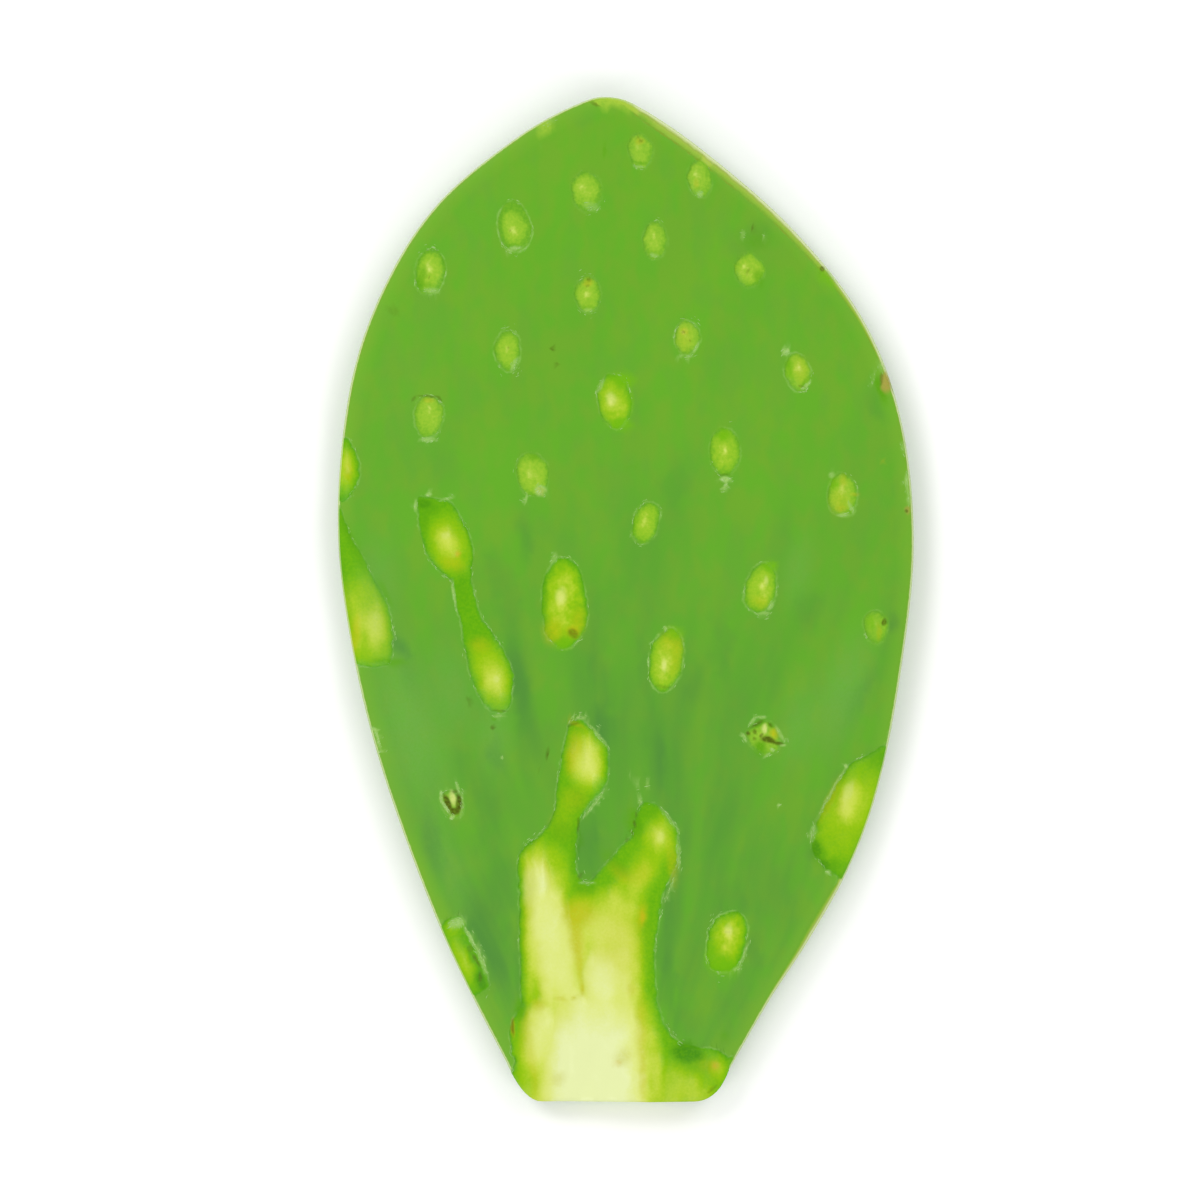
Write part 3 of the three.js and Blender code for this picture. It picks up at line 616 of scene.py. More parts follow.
# Each kind of mark: its colour, how softly it fades at its edge, and its places
MARKS_AND_PAINTED_LIGHT = [
    # wax bloom still on the lower sides
    ("70AC4C", 1, [
        (-45, -27, 5.5, 15, -14, 0.6), (-36, -19, 3.5, 8, -10, 0.4), (-52, 3, 3.5, 8, 0, 0.35),
        (-27.5, -28, 3, 7, 0, 0.4), (-37, -56, 3, 8, -20, 0.35), (45.5, -19, 4, 10, 18, 0.55),
        (36, -26, 3, 7, 10, 0.4), (36, 6, 2.5, 6, 10, 0.35),
    ]),
    # yellowed flesh and the seam between two strokes
    ("BEBE1A", 0.8, [
        (-9.8, -65.5, 3, 2.6, 0, 0.7), (-10.4, -70.5, 1.3, 5, -8, 0.7),
        (-9.6, -76.5, 0.6, 4, -6, 0.45), (-9.1, -81.2, 0.4, 1.2, 0, 0.7),
        (-10.9, -83.2, 0.5, 0.4, 0, 0.6), (-13.6, -83.4, 1.3, 0.4, 10, 0.45),
        (-1.2, -72, 4.4, 6.5, 0, 0.24), (3.2, -66, 0.9, 2.4, 8, 0.65),
        (-20.4, -60, 0.8, 5, 0, 0.3), (3.2, -90, 1, 6, 0, 0.45), (1.1, -81.4, 0.9, 1.2, 0, 0.4),
        (-0.8, -95.6, 1.9, 1.3, -30, 0.4), (-14.1, -100.3, 1.5, 1.2, -20, 0.35),
        (-18.3, -84.6, 1.2, 1.1, 0, 0.4), (-19.4, -98, 0.8, 5, -6, 0.3),
        (3.6, -99.5, 0.7, 5, 0, 0.4), (-21, -90, 1.1, 4.5, 0, 0.3),
        (-36.2, 7.6, 2.2, 1.3, 20, 0.4), (-30.6, -9.4, 1.8, 1.6, 0, 0.35),
        (-56.6, -7.4, 0.8, 3.6, 8, 0.5), (-10.6, -30.2, 1.4, 2.4, 0, 0.45),
        (-15.2, -6.4, 1.8, 2.4, 0, 0.5), (-9.9, -4.6, 1.2, 2.6, 10, 0.4),
        (-11.4, -33.6, 1.2, 2.6, 0, 0.4), (-10.8, -41.5, 2.4, 2.2, 0, 0.25),
        (42.8, -41.5, 0.8, 4.2, 26, 0.4), (-13.4, -46.4, 2.2, 3, 10, 0.12),
        (-1, -57, 2.6, 1.2, 40, 0.45), (3.4, -57.4, 1.8, 2.2, 30, 0.3), (9.8, -55, 1, 4, -6, 0.4),
        (44.6, 20.4, 1.8, 2.2, 0, 0.25), (9.3, -8.6, 2, 2.2, 10, 0.35),
        (10.6, -12, 1, 3.5, 10, 0.3), (52.8, -6.6, 0.5, 1.6, 0, 0.5),
        (36.6, 48.2, 1.3, 2.4, -8, 0.2), (12.3, 54.4, 1.5, 2.2, 0, 0.2),
        (28, -0.4, 1.6, 1.2, 12, 0.3), (31.1, -27.8, 0.8, 0.9, 0, 0.8),
        (17, -97.4, 2.4, 1.4, 20, 0.3), (-58, 26.6, 0.8, 1.6, 0, 0.4),
    ]),
    # painted shade under a lip and in a hollow
    ("5CA400", 0.6, [
        (12.6, -94.6, 3, 2, 10, 0.9), (-41.4, 19.6, 2.3, 1.6, 10, 0.75),
        (-42, 16.6, 0.9, 2.6, 0, 0.6), (-8.6, -60, 2.2, 1.8, 0, 0.65),
        (-10.9, -52.5, 0.7, 5, 0, 0.5), (1.6, -46.4, 1.5, 2.8, -14, 0.75),
        (4.6, -44.2, 2.4, 1.4, 0, 0.5), (-2.4, -54.8, 4, 1.2, 42, 0.45),
        (40.2, -52.4, 1.4, 2.8, -12, 0.75), (43, -55.6, 1.6, 1.6, -30, 0.7),
        (52.6, -33.4, 2, 2.2, 30, 0.45), (-57.3, 12, 0.9, 7, -25, 0.6),
        (-50.4, 1.6, 0.7, 3, -28, 0.5), (-34.2, 2.6, 1, 4, -8, 0.4),
        (-49.6, -12.9, 3.6, 0.8, 0, 0.65), (-22.2, -85.2, 1.1, 2.2, 0, 0.9),
        (-30.6, -79.8, 1.3, 2.3, -10, 0.85), (-31.8, -75.6, 0.4, 2.8, -26, 0.5),
        (-33.8, -71.2, 1.1, 1.2, -26, 0.3), (-17, 0.6, 0.7, 5, 0, 0.45),
        (27.6, 67.2, 0.9, 1.8, -20, 0.6), (27.4, 75, 2.6, 1.7, -10, 0.5),
        (53.2, 44.2, 0.9, 3, -24, 0.95), (27.9, -30.8, 1.2, 1.6, 10, 0.9),
        (27.4, -25.9, 0.5, 1.7, 56, 0.9), (30.4, -26.1, 0.4, 0.9, -50, 0.8),
        (-4.5, 93.6, 0.5, 1.2, 0, 0.55), (-42.8, 67, 0.8, 2.4, 14, 0.6),
        (-41.6, 65.9, 1.6, 0.6, 0, 0.45), (-27.4, -24.6, 0.7, 0.5, 0, 0.6),
        (2.9, 91.4, 1.4, 0.3, 0, 0.6), (-23.6, 73.9, 1.6, 0.4, -10, 0.4),
        (5.9, 72.4, 1.1, 0.4, 0, 0.4), (-8, 61.3, 1.2, 0.4, 0, 0.35),
        (37.4, 45.6, 0.5, 1.2, 30, 0.5), (20.6, -91, 0.9, 0.9, 0, 0.4),
        (-19.2, 29.9, 0.9, 0.7, 0, 0.5), (1.4, 27.8, 1.2, 0.4, 0, 0.2),
        (-58.9, 4, 0.7, 9, -10, 0.35), (13.6, -97.4, 3.2, 1, 12, 0.3),
        (2.2, -46.8, 0.9, 2.6, -14, 0.6), (-13.4, -48.6, 2.2, 2.4, 10, 0.4),
    ]),
    # and painted shade darkest where a hollow is deepest
    ("4A9208", 0.4, [
        (12.9, -94.7, 3.2, 1.7, 12, 1), (-42.2, 20.1, 1.3, 0.9, 5, 0.7),
        (39.8, -52, 0.8, 2, -12, 0.8), (41.8, -55.3, 1.3, 0.9, 45, 0.7),
        (-30.2, -79.6, 0.9, 2, -10, 0.9), (-9.8, -50, 0.5, 3, 0, 0.5),
    ]),
    # painted shade: full green on one side of several pared spots
    ("72B802", 0.6, [
        (-0.4, 46, 2.5, 1.3, 6, 1), (-1.4, 36.9, 2.3, 1, 0, 0.95), (1, 41.5, 0.7, 3, 0, 0.5),
        (30, 6.9, 1.4, 1.1, 0, 0.95), (20.4, 34.4, 1.3, 1.3, 0, 0.85), (20.2, -76, 3, 2, 15, 0.95),
        (17.6, -73.4, 1, 2.6, 12, 0.7), (-13.2, -9.2, 1.8, 1.2, 0, 0.8),
        (10.2, -6.8, 1.9, 1.2, 10, 0.6), (34.3, 48.2, 0.7, 2.4, -8, 0.75),
        (43.6, 24.3, 1.1, 1.3, 0, 0.8), (51.2, -4.4, 0.8, 1.8, 0, 0.5),
        (2.2, 16.4, 0.5, 2.8, 10, 0.5), (51.8, -6, 2.2, 3.2, 0, 0.35),
        (-0.6, 36.2, 2.6, 1, 0, 0.5), (42, 67.4, 1, 2.6, -42, 1),
    ]),
    # pale flesh close under a steep lip, pale roots, and painted highlights on the cut flesh
    ("DAE488", 0.6, [
        (-20.2, -59.8, 1.2, 3.6, 0, 0.55), (29.2, 4, 0.5, 0.9, 0, 0.4), (-3, 41.9, 1, 1.3, 0, 0.5),
        (-13.5, 0.8, 1, 1.6, 0, 0.4), (21.5, -68.9, 0.7, 1.2, 0, 0.4),
        (8, -13.6, 0.5, 1.2, 0, 0.4), (7.2, -49.6, 0.8, 1.1, 0, 0.35),
        (-37.6, 13.4, 0.8, 0.8, 0, 0.35), (-27.2, -16.4, 0.6, 0.7, 0, 0.45),
        (46.6, -40, 0.8, 1.8, 14, 0.3), (28.9, -26.8, 0.6, 0.9, 0, 0.9),
        (-36.2, -41.2, 0.6, 1.4, -10, 0.75),
    ]),
    ("A6CE70", TORN_SOFTNESS, TORN_CUTICLE),
    # the fresh patch at the very tip
    ("A8CC3E", 0.4, [(-3.6, 104, 3.4, 1.1, 0, 0.95), (0.6, 103.1, 0.8, 2.2, -62, 0.7),
                     (-17, 98.4, 1.6, 1.5, -30, 0.6)]),
    # corky patches
    ("A8A048", 0.4, [(54.5, 45.6, 1.2, 2.1, 0, 1), (58.9, 18.7, 0.7, 0.9, 0, 0.7)]),
    # orange stains
    ("CCAE20", 0.7, [
        (-35.1, 9.6, 0.6, 0.7, 0, 0.6), (18.9, -97.4, 0.8, 0.8, 0, 0.6),
        (3.4, -66.2, 0.5, 1.2, 0, 0.4), (-1.7, -96.6, 0.6, 0.5, 0, 0.35),
        (-10.4, -25.9, 1.8, 0.5, 20, 0.3), (45.3, 24.8, 0.7, 1.4, 0, 0.2),
        (48, 22, 0.9, 0.4, 0, 0.25), (45.1, 19.2, 0.9, 0.7, 0, 0.2),
        (-17.8, 22.9, 0.9, 0.7, 0, 0.25), (-23.6, -89.4, 0.4, 1.8, 0, 0.6),
        (-41.2, 41.6, 1.1, 0.5, 0, 0.25), (3, 95.8, 1, 0.6, 0, 0.28),
        (-7.9, 66.3, 0.8, 0.7, 0, 0.35), (12.2, 56, 0.7, 0.6, 0, 0.25),
        (14.8, 87, 0.5, 0.9, 0, 0.22), (-11.1, -6.6, 1.2, 1.1, 30, 0.4),
        (53.8, 29, 0.4, 0.4, 0, 0.2),
    ]),
    # scabs, bruises and grit
    ("505E14", 0.4, [
        (-23.6, -89.2, 0.3, 1.8, 0, 0.6), (-11, -7, 1, 0.9, 30, 0.6),
        (3.3, 95.9, 0.35, 0.3, 0, 0.5), (2.6, 96.6, 0.3, 0.25, 0, 0.4),
        (-7.8, 66.9, 0.4, 0.25, 0, 0.6), (-8, 65.8, 0.35, 0.25, 0, 0.5),
        (12.2, 55.9, 0.35, 0.25, 0, 0.5), (13.5, 54.2, 0.25, 0.25, 0, 0.4),
        (-41.2, 42.5, 2.4, 0.22, 0, 0.55), (-44.3, 41.9, 0.3, 0.6, 40, 0.5),
        (-38.7, 42, 0.3, 0.6, -40, 0.5), (20.3, 26.2, 1.6, 0.22, 0, 0.3),
        (53.9, -4.5, 0.4, 0.7, 0, 0.85), (-37.3, -42.2, 0.6, 1.8, -20, 1),
        (-36.1, -44, 1, 0.75, 0, 1), (-35, -42.4, 0.65, 1.9, 4, 1),
        (-35.6, -39.9, 0.7, 0.4, 0, 0.6), (27.3, -25.7, 0.35, 1.3, 56, 0.6),
        (30.3, -26.1, 0.3, 0.6, -45, 0.6), (25.7, -27.7, 0.45, 0.5, 0, 0.8),
        (27, -27.4, 0.4, 0.5, 0, 0.7), (28.2, -28.2, 0.35, 0.5, 40, 0.7),
        (26.8, -28.8, 0.3, 0.4, 0, 0.5), (29.8, -29.2, 0.7, 1.6, 100, 0.95),
        (31.8, -29.8, 0.35, 1.2, 98, 0.8), (1.7, -46.6, 0.22, 0.8, -14, 0.6),
        (1.2, -48.4, 0.2, 0.6, -20, 0.6), (0.2, -50.2, 0.3, 0.5, 30, 0.45),
        (2.1, -44.8, 0.22, 0.6, 0, 0.45), (-9.9, -46.8, 0.3, 1.4, 0, 0.5),
        (-11, -26, 1.4, 0.3, -20, 0.45), (-9.7, -57.6, 0.4, 0.8, 30, 0.4),
        (41, 69.3, 0.6, 0.6, 0, 0.8), (58.6, 18.5, 0.35, 0.4, 0, 0.8),
        (53.4, 46.2, 0.4, 1.4, 10, 0.45), (55.9, 44.8, 0.35, 1.4, -10, 0.6),
        (26.5, 77.8, 0.3, 0.3, 0, 0.6), (-15.4, 52.4, 0.35, 0.35, 0, 0.75),
        (-14.6, 49.3, 0.3, 0.3, 0, 0.7), (-28.1, -26.7, 0.35, 0.5, 0, 0.6),
        (-16.2, -32.2, 0.25, 0.3, 0, 0.7), (-18.3, -35.5, 0.3, 0.3, 0, 0.75),
        (-48.6, 60.4, 1.3, 0.9, 20, 0.15), (-32.6, -73, 0.7, 0.8, -28, 0.35),
        (-31.4, -75.6, 0.3, 1.6, -28, 0.6), (-30.4, -79, 0.4, 1, 0, 0.5),
        (-24.4, 52.6, 0.3, 0.25, 0, 0.4), (-24, 77.1, 0.25, 0.25, 0, 0.4),
        (-41.2, 67.4, 0.3, 0.3, 0, 0.4), (-6.6, 103.5, 0.8, 0.4, 35, 0.6),
        (-26.3, -23.1, 1.6, 0.25, 0, 0.4), (36.7, 44.7, 0.8, 0.25, 20, 0.45),
        (-33, -21, 0.3, 1, -24, 0.3), (7.9, -18, 1.8, 0.22, 10, 0.35),
        (18, -102.4, 0.25, 1.6, 40, 0.4), (21.3, -69.4, 0.6, 0.2, 0, 0.25),
        (25.4, 68.6, 0.2, 0.8, 20, 0.3),
    ]),
]

# Where the skin is darker and bluer, over the strands that run up from the stem:
# across, along, half width, half length, lean, strength
SKIN_SHADES = [
    (2, -28, 26, 42, 0, 0.3), (12, -60, 12, 24, 8, 0.14), (-7.5, -50, 2.6, 7, 8, 0.75),
    (-28, -71, 3.4, 11, -18, 0.85), (-25.5, -58, 3.5, 6, 0, 0.55), (-27, -33, 1.8, 4, -15, 0.6),
    (-29, -46, 2.4, 8, -10, 0.4), (-40.5, -50, 1.8, 7, -10, 0.5), (-22, -18, 1.8, 8, -8, 0.6),
    (-24.5, -1, 2.2, 6, -10, 0.3), (-27, 7, 2, 5, -10, 0.35), (-21, 13, 1.6, 4, 0, 0.4),
    (-47, -9, 1.4, 2.4, -30, 0.7), (-45.5, -16, 2.2, 5, -20, 0.3), (-4.5, -26, 1.8, 4, -10, 0.6),
    (-5.5, -14, 2, 8, -5, 0.45), (-3, -1, 3, 5, 0, 0.28), (5.8, -33, 1.8, 8, 0, 0.5),
    (4, -18, 1.3, 8, 0, 0.45), (12, -45, 1.4, 7, 0, 0.35), (20, -9, 1.6, 7, -5, 0.4),
    (15, -18, 2, 4, 10, 0.3), (22.5, -62.5, 3, 3.5, 25, 0.4), (21, -46, 3.5, 8, 5, 0.15),
    (8.4, -78, 1.7, 7, 0, 0.75), (8.2, -66, 1.3, 5, 0, 0.45), (12.6, -89, 2.6, 4, -8, 0.4),
    (27, -74, 1.6, 3.5, 10, 0.5), (23.5, -83, 2, 7, 22, 0.35), (36, -22, 2.2, 7, 48, 0.2),
    (48, -20, 2, 6, 30, 0.4), (38, -2, 2.5, 4, 20, 0.3), (55.3, -4.2, 1.4, 2.2, 0, 0.6),
    (39, -52.5, 1.6, 1.8, 0, 0.5), (42, -43, 1.3, 8, 30, 0.3), (31, -63, 3, 8, 25, 0.25),
    (-18, -27, 2.4, 6, -6, 0.3), (0.5, 9, 2, 7, 0, 0.18), (10, 24, 2, 6, 4, 0.25),
    (-12, 18, 2.5, 6, -4, 0.15), (-38.6, 27, 2.2, 5, -12, 0.2), (32, 14, 2.4, 6, 14, 0.12),
    (-22.8, -78, 0.8, 10, 0, 0.5), (-36, -36, 5, 4, 0, 0.2), (26, 76, 4, 2.6, -30, 0.3),
    (52.5, 41, 1.6, 4, -24, 0.3),
]


SHADE_WOBBLE = (2.4, 1.2)
SHADE_EDGE = 1.7  # a shade has faded out this far from its middle
SHADE_FADE = 1.4
MARK_WOBBLE = (0.3, 0.4)
FRAY_STARTS = (-0.4, -0.1)  # the frayed band along a lip, by distance in from it
FRAY_STOPS = (-0.15, 0.05)
FRAY_RUN = 2.2
FRAY_BREAKS = (-0.1, 0.2)
FRAY_SEED = 41
PATCH_FRAY = 0.7


def shades_at(x, y):
    """How dark the skin's strands and patches make it."""
    bright = np.ones(x.shape)
    x, y = wobble(x, y, *SHADE_WOBBLE)
    for shade in SKIN_SHADES:
        out = np.hypot(*in_spot(shade, x, y))
        bright *= 1 - shade[5] * smoothstep(SHADE_EDGE - out, 0, SHADE_FADE)
    return 1 - bright


def mark_cover(mark, softness, x, y):
    """Which points lie near a mark, and how fully it covers each of them."""
    near = np.hypot(x - mark[0], y - mark[1]) < 2 * max(mark[2:4])
    out = np.hypot(*in_spot(mark, x[near], y[near]))
    return near, mark[5] * smoothstep(1 + softness - out, 0, 2 * softness)


def marks_and_painted_light_at(x, y):
    """Amount of mark and painted light at (x, y) and its colour, already weakened by that amount.
    """
    colour, amount = np.zeros(x.shape + (3,)), np.zeros(x.shape)
    x, y = wobble(x, y, *MARK_WOBBLE)
    for hex_code, softness, marks in MARKS_AND_PAINTED_LIGHT:
        for mark in marks:
            near, cover = mark_cover(mark, softness, x, y)
            colour[near] *= (1 - cover)[:, None]
            colour[near] += cover[:, None] * np.array(paint(hex_code)[:3])
            amount[near] = amount[near] * (1 - cover) + cover
    return colour, amount


def torn_at(x, y, lip, plain):
    """How frayed the cuticle is: in the torn patches, and in broken runs along the lips."""
    by_lip = plain * smoothstep(lip, *FRAY_STARTS) * smoothstep(-lip, *FRAY_STOPS)
    torn = by_lip * smoothstep(soft_noise(x, y, FRAY_RUN, FRAY_SEED), *FRAY_BREAKS)
    x, y = wobble(x, y, *MARK_WOBBLE)
    for mark in TORN_CUTICLE:
        near, cover = mark_cover(mark, TORN_SOFTNESS, x, y)
        torn[near] = np.maximum(torn[near], PATCH_FRAY * cover)
    return torn


def way_along_lip(x, y):
    """The way the nearest lip runs at each point."""
    step = 0.1
    lip, ahead, beside = (gather_cuts(x + dx, y + dy, PARED_SPOTS, LONG_CUTS)[1]
                          for dx, dy in ((0, 0), (step, 0), (0, step)))
    return np.column_stack([lip - beside, ahead - lip, np.zeros(len(x))]) / step


# ------------------------------------------------------------------------ the pad's mesh
# The faces are a square grid folded ring by ring on to the outline and joined by the
# rim's wall; the net is made finer along each knife cut. The rim was shaved all round,
# widest along the upper right: its wall is flesh above, turning under into skin.

RINGS = 64
WALL_ROWS = 8
RIM_EASE = 0.4  # the rim bulges this much between its upper and lower edge
RIM_SHAVED_AWAY = 1.9  # thickness of what the shaving took off the rim's wall
UNDER_ROUNDING = 1.3  # the underside curves up this much to the rim
UNDER_ROUNDING_REACH = 3.4
NARROW_SHAVING = 0.5
WIDE_SHAVING = 2.3
LOW_RIGHT_SHAVING = 1.8
# Where the wider shavings begin and where they are full, across and then along
WIDE_PART = ((-6, 6), (35, 98))
LOW_RIGHT_PART = ((25, 45), (50, 70))
SHAVING_DROP = 0.62  # drop of a shaved edge for each millimetre of its width
CHOP_SHAVING = 0.25
GRID_START = 7 / 8  # share of the way round at which the grid's first corner lies
SMALL_MARK = 1.0
MARK_MARGIN = 0.6
MARK_REACH = 1.4
CHOP_BAND = 0.3  # the net is finer this close to the chop
COARSE_PASS = (1.3, FAR, FAR)  # finer this far outside a lip, inside it, inside a spot's
FINE_PASS = (0.5, 0.7, FAR)
BAND_FADE = 0.2
CLEAR_OF_LIP = 0.3  # the rim's bands stop where a cut is this far in from its lip
WALL_FLESH = (0.3, 0.9)  # from the rim's middle, 0, to its upper edge, 1
UPPER_EDGE = (-0.1, 0.6)
ON_CHOP = 0.05  # a point this close to the chop's line is on its face
MARKED_DOWN_TO = 0.5
SHARP_ANGLE = 50
LOOK_AHEAD = 0.002


def along_outline(share):
    """Point and inward direction at a share of the way round the outline."""
    steps = np.roll(outline, -1, axis=0) - outline
    travelled = np.concatenate([[0], np.cumsum(np.hypot(*steps.T))])
    travelled /= travelled[-1]
    closed = np.vstack([outline, outline[:1]])
    point = lambda s: np.stack([np.interp(s % 1, travelled, closed[:, i]) for i in (0, 1)], -1)
    ahead = point(share + LOOK_AHEAD) - point(share - LOOK_AHEAD)
    ahead /= np.linalg.norm(ahead, axis=-1, keepdims=True)
    inward = np.stack([-ahead[..., 1], ahead[..., 0]], -1)
    return point(share), inward


def shaving_width(x, y):
    """How wide the rim's shaving is beside each point."""
    upper_right = smoothstep(x, *WIDE_PART[0]) * smoothstep(y, *WIDE_PART[1])
    lower_right = smoothstep(x, *LOW_RIGHT_PART[0]) * smoothstep(-y, *LOW_RIGHT_PART[1])
    width = NARROW_SHAVING + (WIDE_SHAVING - NARROW_SHAVING) * upper_right
    width += (LOW_RIGHT_SHAVING - NARROW_SHAVING) * lower_right
    return np.where(y < SIDES[0][1], CHOP_SHAVING, width)


def folded_grid():
    """Each grid point's place, its share of the way round, and the outermost ring's
    points in order."""
    steps = np.arange(-RINGS, RINGS + 1)
    column, row = np.meshgrid(steps, steps)
    ring = np.maximum(np.abs(column), np.abs(row))
    turn = np.select(
        [row == -ring, column == ring, row == ring],
        [column + ring, 3 * ring + row, 5 * ring - column],
        7 * ring - row,
    ) / (8 * np.maximum(ring, 1))
    edge, inward = along_outline((turn + GRID_START) % 1)
    width = shaving_width(edge[..., 0], edge[..., 1])[..., None]
    inner = (edge + inward * width) * (ring / (RINGS - 1))[..., None]
    outer = edge + inward * RIM_EASE * (width > CHOP_SHAVING)
    place = np.where((ring == RINGS)[..., None], outer, inner)
    order = np.argsort(np.where(ring == RINGS, turn, np.inf).ravel())[:8 * RINGS]
    return place, turn, order


def pad_net():
    """The closed net, still flat: x and y in millimetres, z = 1 on the upper face,
    -1 on the lower face and between them down the rim."""
    place, turn, rim_order = folded_grid()
    count = turn.size
    flat = place.reshape(-1, 2)
    upper = np.column_stack([flat, np.ones(count)])
    lower = np.column_stack([flat, -np.ones(count)])
    edge, inward = along_outline((turn.ravel()[rim_order] + GRID_START) % 1)
    grown = (shaving_width(*edge.T) > CHOP_SHAVING)[:, None]
    walls = []
    for row in range(1, WALL_ROWS):
        side = 1 - 2 * row / WALL_ROWS
        ease = inward * RIM_EASE * side ** 2 * grown
        walls.append(np.column_stack([edge + ease, np.full(len(edge), side)]))
    points = np.vstack([upper, lower, *walls])

    across = 2 * RINGS + 1
    corner = (np.arange(across - 1)[:, None] * across + np.arange(across - 1)).ravel()
    face = np.column_stack([corner, corner + 1, corner + across + 1, corner + across])
    rings = [rim_order]
    rings += [2 * count + row * len(rim_order) + np.arange(len(rim_order))
              for row in range(WALL_ROWS - 1)]
    rings.append(count + rim_order)
    quads = [face, face[:, ::-1] + count]
    for above, below in zip(rings, rings[1:]):
        quads.append(np.column_stack([below, np.roll(below, -1), np.roll(above, -1), above]))
    return points, np.vstack(quads)


def near_small_mark(x, y):
    """Where the net has to be fine enough for a small mark."""
    near = np.zeros(x.shape, bool)
    for _, _, marks in MARKS_AND_PAINTED_LIGHT:
        for mark in marks:
            width, length = mark[2:4]
            if min(width, length) < SMALL_MARK:
                along, across = in_spot(mark, x, y)
                along *= length / (length + MARK_MARGIN)
                across *= width / (width + MARK_MARGIN)
                near |= along ** 2 + across ** 2 < MARK_REACH
    return near


def refine(net, outside, inside, spots_inside):
    """Halve the net's edges near the lips of the cuts and round small marks."""
    x, y, side = np.array([vertex.co for vertex in net.verts]).T
    wanted = y < CHOP_Y + CHOP_BAND
    for face, spots, long_cuts in ((1, PARED_SPOTS, LONG_CUTS), (-1, UNDERSIDE_SPOTS, [])):
        there = side == face
        _, lip, _, deep, _ = gather_cuts(x[there], y[there], spots, long_cuts)
        reach = np.where(deep == 1, inside, spots_inside)
        near = (lip > -outside) & (lip < reach)
        if face == 1:
            near |= near_small_mark(x[there], y[there])
        wanted[there] |= near
    edges = [edge for edge in net.edges if all(wanted[vertex.index] for vertex in edge.verts)]
    bmesh.ops.subdivide_edges(net, edges=edges, cuts=1, use_grid_fill=True)
    net.verts.index_update()
    net.edges.index_update()


def finish_net(net):
    """Places of the net's points in millimetres, and the values its material reads."""
    x, y, side = np.array([vertex.co for vertex in net.verts]).T
    from_edge = distance_to_line(outline, x, y, closed=True)
    width = shaving_width(x, y)
    shaving = np.where(width > CHOP_SHAVING, width - from_edge, -FAR)
    drop = np.maximum(width - from_edge, 0) * SHAVING_DROP
    from_grown_rim = distance_to_line(grown_rim, x, y)
    top_skin = upper_skin(x, y, from_grown_rim) + cushion_swell(x, y, PARED_SPOTS)
    bottom_skin = lower_skin(x, y, from_grown_rim)
    under_rim = 1 - np.minimum(from_grown_rim / UNDER_ROUNDING_REACH, 1)
    bottom_skin += UNDER_ROUNDING * under_rim ** 2

    on_top, below = side == 1, side == -1
    wall = ~on_top & ~below
    depth, lip, sunk, deep, plain = gather_cuts(x, y, PARED_SPOTS, LONG_CUTS)
    under_depth, under_lip, under_sunk, _, _ = gather_cuts(x, y, UNDERSIDE_SPOTS, [])
    top = top_skin - drop - sunk
    bottom = bottom_skin + under_sunk
    z = bottom + (top - bottom) * (side + 1) / 2

    flesh = np.where(below, under_depth, depth)
    flesh_lip = np.where(below, np.maximum(under_lip, -from_edge), np.maximum(lip, shaving))
    rim = np.where(lip > CLEAR_OF_LIP, 0, np.clip(shaving / BAND_FADE + 0.5, 0, 1))
    rim = np.where(wall, smoothstep(side, *WALL_FLESH), rim)
    rim[below] = 0
    on_chop = (y < CHOP_Y + ON_CHOP) & ~below
    into_flesh = np.minimum(top_skin - z, z - bottom_skin)
    into_flesh = np.clip(into_flesh, 0, from_grown_rim + RIM_SHAVED_AWAY)
    flesh = np.where(wall, into_flesh, flesh)
    flesh_lip = np.where(wall, z - bottom, flesh_lip)
    deep = np.where(on_chop | wall, 1, deep)
    rim = np.where(on_chop, 0, rim)
    mark_and_painted_light_colour, mark_and_painted_light_amount = marks_and_painted_light_at(x, y)
    mark_and_painted_light_amount[side < MARKED_DOWN_TO] = 0
    mark_and_painted_light_colour[side < MARKED_DOWN_TO] = 0
    torn = np.where(on_top, torn_at(x, y, lip, plain), 0)
    way = np.zeros((len(x), 3))
    way[torn > 0] = way_along_lip(x[torn > 0], y[torn > 0])
    values = {
        "flesh_depth": flesh,
        "lip": flesh_lip,
        "deep_cut": deep,
        "rim_cut": rim,
        "from_rim": from_edge,
        "across_shaving": np.where(wall, 0, from_edge / width),
        "mark_and_painted_light_amount": mark_and_painted_light_amount,
        "cuticle_line": plain,
        "shade": shades_at(x, y),
        "torn": torn,
        "upper_side": smoothstep(side, *UPPER_EDGE),
    }
    return np.column_stack([x, y, z]), values, mark_and_painted_light_colour, way


def add_attribute(mesh, name, kind, field, numbers):
    attribute = mesh.attributes.new(name, kind, "POINT")
    attribute.data.foreach_set(field, numbers.astype(np.float32).ravel())


